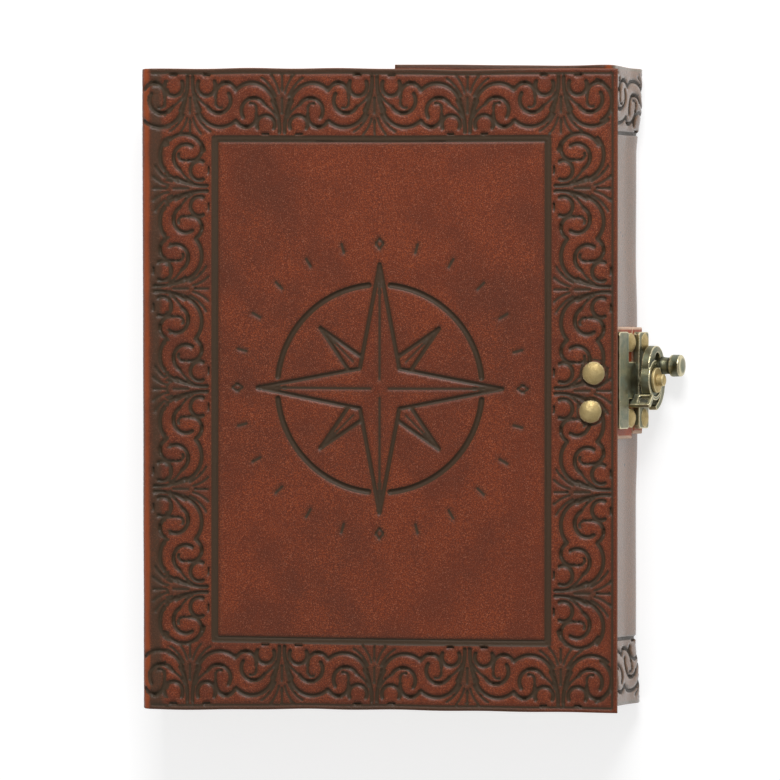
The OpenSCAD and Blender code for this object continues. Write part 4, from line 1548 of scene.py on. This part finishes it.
@dataclass
class Sewing:
    """Stitches of three ply thread over the spine."""

    sizes: Sizes
    wardrobe: Wardrobe
    twist: float = 2.6
    sunk: float = 0.35
    past_leather: float = 0.1
    corner: float = 1.1
    ply_share: float = 0.27
    ring: int = 6

    def build(self) -> bpy.types.Object:
        """Make every stitch as three plies wound round each other."""
        z = self.sizes
        points, faces, hollow = [], [], []
        start = 0
        for height in z.section_heights():
            for y in z.stitch_rows_y():
                line = self._run(height, y)
                for ply in range(3):
                    p, f, h = self._ply(line, ply)
                    points.append(p)
                    faces += [[start + v for v in q] for q in f]
                    hollow.append(h)
                    start += len(p)
        values = {"hollow": np.concatenate(hollow)}
        piece = mesh_object("spine_thread", np.concatenate(points), faces, values)
        self.wardrobe.dress(piece, Finish.THREAD)
        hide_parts("spine_stitches")
        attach(piece, "wrap")
        LOG.info("spine_thread: %d faces", len(piece.data.polygons))
        return piece

    def _run(self, height: float, y: float) -> Array:
        """Centre line of one stitch, in through the leather at both ends."""
        z = self.sizes
        half = (z.stitch_len - z.thread_d) / 2
        x_out = z.spine_x + self.sunk - float(z.bow_at(height, y))
        x_in = z.spine_x + z.leather_t + self.past_leather
        r = self.corner
        a = np.linspace(0, math.pi / 2, 6)
        head = np.column_stack([x_out + r - r * np.sin(a), y - half + r - r * np.cos(a)])
        tail = np.column_stack([x_out + r - r * np.cos(a), y + half - r + r * np.sin(a)])
        mid_y = np.linspace(y - half + r, y + half - r, 26)[1:-1]
        mid = np.column_stack([np.full(len(mid_y), x_out), mid_y])
        flat = np.concatenate([[[x_in, y - half]], head, mid, tail, [[x_in, y + half]]])
        return np.column_stack([flat, np.full(len(flat), height)])

    def _ply(self, line: Array, ply: int) -> tuple[Array, list[list[int]], Array]:
        """One ply as a thin tube about the centre line."""
        z = self.sizes
        r = z.thread_d * self.ply_share
        tangent = np.gradient(line, axis=0)
        tangent /= np.linalg.norm(tangent, axis=1)[:, None]
        up = np.array([0.0, 0.0, 1.0])
        side = np.cross(tangent, up)
        side /= np.linalg.norm(side, axis=1)[:, None]
        steps = np.concatenate([[0.0], np.cumsum(np.linalg.norm(np.diff(line, axis=0), axis=1))])
        angle = steps * 2 * math.pi / self.twist + ply * 2 * math.pi / 3
        centre = line + r * (np.cos(angle)[:, None] * side + np.sin(angle)[:, None] * up)
        ring = self.ring
        points, hollow = [], []
        for i, c in enumerate(centre):
            for k in range(ring):
                a = 2 * math.pi * k / ring
                offset = math.cos(a) * side[i] + math.sin(a) * up
                points.append(c + r * offset)
                # hollow: how far a ply faces the others, where the thread's colour is painted in
                # shade
                hollow.append(max(0.0, 1 - np.linalg.norm(c + r * offset - line[i]) / (1.6 * r)))
        faces = []
        for i in range(len(centre) - 1):
            for k in range(ring):
                j = (k + 1) % ring
                a, b = i * ring, (i + 1) * ring
                faces.append([a + k, a + j, b + j, b + k])
        faces.append(list(range(ring))[::-1])
        faces.append([(len(centre) - 1) * ring + k for k in range(ring)])
        return np.array(points), faces, np.array(hollow)


@dataclass
class Casting:
    """A metal piece recast from its CAD node, with soft edges."""

    node: str
    name: str
    finish: Finish
    body: str
    voxel: float = 0.16
    soften: int = 4
    uneven: float = 0.02
    grow: float = 0.0
    push: float = 0.6
    pull_back: float = 0.3
    broad_rounds: int = 10
    wave: float = 2.6
    contrast: float = 2.4

    def build(self, wardrobe: Wardrobe) -> bpy.types.Object:
        """Remesh the node's shape evenly, soften it and mark its ridges and hollows."""
        source = bpy.data.objects[self.node]
        rough = bpy.data.objects.new(self.name + "_rough", source.data.copy())
        bpy.context.scene.collection.objects.link(rough)
        remesh = rough.modifiers.new("remesh", "REMESH")
        remesh.mode = "VOXEL"
        remesh.voxel_size = self.voxel * MM
        graph = bpy.context.evaluated_depsgraph_get()
        mesh = bpy.data.meshes.new_from_object(rough.evaluated_get(graph))
        count = len(mesh.vertices)
        co = np.zeros(count * 3)
        mesh.vertices.foreach_get("co", co)
        co = co.reshape(-1, 3) / MM
        pairs = np.zeros(len(mesh.edges) * 2, int)
        mesh.edges.foreach_get("vertices", pairs)
        pairs = pairs.reshape(-1, 2)
        degree = np.maximum(np.bincount(pairs.ravel(), minlength=count), 1)[:, None]

        def around(values: Array) -> Array:
            """Average of each corner's neighbours."""
            total = np.zeros_like(values)
            np.add.at(total, pairs[:, 0], values[pairs[:, 1]])
            np.add.at(total, pairs[:, 1], values[pairs[:, 0]])
            return total / degree

        for _ in range(self.soften):
            co = co + self.push * (around(co) - co)
            co = co - self.pull_back * (around(co) - co)
        broad = co
        for _ in range(self.broad_rounds):
            broad = around(broad)
        mesh.vertices.foreach_set("co", (co * MM).ravel())
        mesh.update()
        normal = np.zeros(count * 3)
        mesh.vertices.foreach_get("normal", normal)
        normal = normal.reshape(-1, 3)
        bend = ((co - broad) * normal).sum(1) / self.voxel
        swell = self.grow + self.uneven * ripple(co[:, 0] + co[:, 2], co[:, 1], self.wave, 21)
        co = co + normal * swell[:, None]
        faces = [tuple(p.vertices) for p in mesh.polygons]
        bend = bend * self.contrast
        values = {"ridge": np.clip(bend, 0, 1), "hollow": np.clip(-bend, 0, 1)}
        piece = mesh_object(self.name, co, faces, values)
        bpy.data.objects.remove(rough)
        bpy.data.meshes.remove(mesh)
        wardrobe.dress(piece, self.finish)
        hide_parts(self.node)
        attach(piece, self.body)
        LOG.info("%s: %d faces", self.name, len(piece.data.polygons))
        return piece


@dataclass
class Clasp:
    """The metal of the clasp."""

    sizes: Sizes
    wardrobe: Wardrobe

    def build(self) -> list[bpy.types.Object]:
        """Recast every metal node."""
        antique, bright = Finish.ANTIQUE_BRASS, Finish.RIVET_BRASS
        parts = [
            Casting("hasp_plate", "cast_hasp", antique, "cover"),
            Casting("hasp_rivets", "hasp_rivet_heads", bright, "cover", 0.14, 3),
            Casting("cover_rivets", "cover_rivet_heads", bright, "cover", 0.14, 3, grow=0.6),
            Casting("lock_plate", "cast_lock_plate", antique, "wrap"),
            Casting("lock_rivets", "lock_rivet_heads", bright, "wrap", 0.14, 3),
            Casting("pivot_rivet", "turned_pivot", bright, "wrap", 0.12, 3),
            Casting("pivot_washer", "pale_washer", bright, "wrap", 0.12, 3),
            Casting("swing_hook", "cast_swing_hook", antique, "hook", 0.13),
        ]
        return [part.build(self.wardrobe) for part in parts] + [self.knob()]

    def knob(self) -> bpy.types.Object:
        """Turn the hook's knob, with its waist and its crowned head, about its own axis."""
        z = self.sizes
        slant = math.radians(z.wall_slant)
        out = np.array([math.cos(slant), 0.0, math.sin(slant)])
        down = np.array([math.sin(slant), 0.0, -math.cos(slant)])
        side = np.array([0.0, 1.0, 0.0])
        foot = np.array([z.wall_x, z.clasp_y(), z.flap_top])
        foot = foot + down * (z.pivot_s + z.knob_at[0]) + side * z.knob_at[1]
        profile = self.knob_profile()
        ring = 72
        turn = np.linspace(0.0, 2 * math.pi, ring, endpoint=False)
        points, ridge, hollow = [], [], []
        for r, h, mark in profile:
            radius = r * (1 + 0.012 * ripple(turn * 3.0, np.full(ring, h), 2.2, 17))[:, None]
            round_axis = np.cos(turn)[:, None] * down + np.sin(turn)[:, None] * side
            points.append(foot + h * out + radius * round_axis)
            ridge.append(np.full(ring, max(mark, 0.0)))
            hollow.append(np.full(ring, max(-mark, 0.0)))
        faces = [list(range(ring))[::-1], [(len(profile) - 1) * ring + k for k in range(ring)]]
        for i in range(len(profile) - 1):
            for k in range(ring):
                j = (k + 1) % ring
                faces.append([i * ring + k, i * ring + j, (i + 1) * ring + j, (i + 1) * ring + k])
        values = {"ridge": np.concatenate(ridge), "hollow": np.concatenate(hollow)}
        piece = mesh_object("turned_knob", np.concatenate(points), [f[::-1] for f in faces], values)
        self.wardrobe.dress(piece, Finish.ANTIQUE_BRASS)
        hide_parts("hook_knob")
        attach(piece, "hook")
        return piece

    def knob_profile(self) -> list[tuple[float, float, float]]:
        """Radius, height over the wall and wear (or dirt, below 0) of each ring of the knob."""
        z = self.sizes
        r, top, neck, seat = z.knob_r, z.knob_top, z.knob_top - z.knob_h, z.hook_top
        rows = [(0.6, seat - 1.5, 0.0), (1.0, seat - 1.5, 0.0), (1.0, seat - 0.4, 0.0)]
        rows += [(2.9, seat - 0.05, -0.9), (2.95, seat + 0.3, -0.8), (2.75, seat + 1.0, -0.3)]
        rows += [(2.65, seat + 2.0, -0.2), (2.7, neck - 0.4, -0.6), (2.85, neck - 0.1, -1.0)]
        for a in np.linspace(-90.0, 0.0, 5):
            c, s = math.cos(math.radians(a)), math.sin(math.radians(a))
            rows.append((r - 0.5 + 0.5 * c, neck + 0.5 + 0.5 * s, 0.7))
        rows += [(r, neck + 1.0, 0.25), (r, top - 1.0, 0.25)]
        for a in np.linspace(0.0, 75.0, 6):
            c, s = math.cos(math.radians(a)), math.sin(math.radians(a))
            rows.append((r - 0.9 + 0.9 * c, top - 1.0 + 0.85 * s, 0.8))
        rows += [(r - 1.4, top - 0.1, 0.4), (r - 2.2, top - 0.02, 0.3), (0.7, top, 0.3)]
        return rows


# Studio


@dataclass
class Studio:
    """Pale floor, soft light and the camera at the photograph's angle."""

    eye: tuple[float, float, float] = (0.25954, 0.01167, 1.88316)
    turn_x: float = 7.8762
    turn_y: float = 0.3944
    roll: float = 0.0239
    lens: float = 271.871
    floor_half: float = 3000.0
    floor_low: float = -0.05

    def camera(self) -> None:
        """Place the camera."""
        data = bpy.data.cameras.new("camera")
        data.sensor_width = 36.0
        data.lens = self.lens
        data.clip_start, data.clip_end = 0.1, 20.0
        camera = bpy.data.objects.new("camera", data)
        bpy.context.scene.collection.objects.link(camera)
        ax, ay, roll = (math.radians(v) for v in (self.turn_x, self.turn_y, self.roll))
        level = math.cos(ay)
        back = Vector((math.sin(ax) * level, math.sin(ay), math.cos(ax) * level)).normalized()
        right = Vector((0, 1, 0)).cross(back).normalized()
        up = back.cross(right)
        right, up = (
            right * math.cos(roll) + up * math.sin(roll),
            up * math.cos(roll) - right * math.sin(roll),
        )
        camera.matrix_world = Matrix.Translation(Vector(self.eye)) @ Matrix(
            ((right.x, up.x, back.x), (right.y, up.y, back.y), (right.z, up.z, back.z))
        ).to_4x4()
        bpy.context.scene.camera = camera

    def floor(self) -> None:
        """Lay the floor."""
        half, low = self.floor_half, self.floor_low
        corners = [(-half, -half, low), (half, -half, low), (half, half, low), (-half, half, low)]
        points = np.array(corners)
        floor = mesh_object("floor", points, [[0, 1, 2, 3]], {})
        kit = MaterialKit("pale_floor")
        kinds = ("Is Camera Ray", "Is Glossy Ray", "Is Transmission Ray")
        camera, glossy, through = (kit.node("ShaderNodeLightPath", out=kind) for kind in kinds)
        seen = camera.top(glossy).top(through)
        plain = kit.node("ShaderNodeBsdfDiffuse", None, {"Color": (0.8, 0.8, 0.8, 1)})
        shown = kit.node("ShaderNodeBsdfDiffuse", None, {"Color": (0.4, 0.4, 0.4, 1)})
        glow = kit.node("ShaderNodeEmission", None, {"Color": (1, 1, 1, 1), "Strength": 0.7})
        both = kit.node("ShaderNodeAddShader", None, {0: shown, 1: glow})
        mixed = kit.node("ShaderNodeMixShader", None, {0: seen, 1: plain, 2: both})
        kit.tree.links.new(mixed.socket, kit.output.inputs["Surface"])
        floor.data.materials.append(kit.material)

    def lamp(self, name: str, place: Sequence[float], size: Sequence[float], power: float) -> None:
        """Hang one soft area lamp that looks at the notebook."""
        data = bpy.data.lights.new(name, "AREA")
        data.shape = "RECTANGLE"
        data.size, data.size_y = size
        data.energy = power
        lamp = bpy.data.objects.new(name, data)
        bpy.context.scene.collection.objects.link(lamp)
        lamp.location = place
        lamp.rotation_euler = (-Vector(place)).to_track_quat("-Z", "Y").to_euler()

    def light(self) -> None:
        """Light the scene plainly."""
        world = bpy.data.worlds.new("studio")
        bpy.context.scene.world = world
        world.use_nodes = True
        sky = world.node_tree.nodes["Background"]
        sky.inputs["Color"].default_value = (1, 1, 1, 1)
        sky.inputs["Strength"].default_value = 0.4
        self.lamp("head_light", (0.1, 0.95, 0.85), (0.6, 0.35), 14.0)
        self.lamp("tail_fill", (-0.6, -0.7, 1.2), (0.8, 0.8), 1.6)

    def build(self) -> None:
        """Set up everything."""
        self.camera()
        self.floor()
        self.light()
        bpy.context.scene.view_settings.view_transform = "Standard"


def main() -> None:
    """Build the notebook round its CAD frame."""
    logging.basicConfig(level=logging.INFO, format="%(name)s: %(message)s")
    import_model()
    sizes = Sizes()
    wardrobe = Wardrobe()
    Studio().build()
    LeatherWrap(sizes, wardrobe).build()
    ClaspLeather(sizes, wardrobe).build()
    PageBlock(sizes, wardrobe).build()
    Sewing(sizes, wardrobe).build()
    Clasp(sizes, wardrobe).build()


if __name__ == "__main__":
    main()
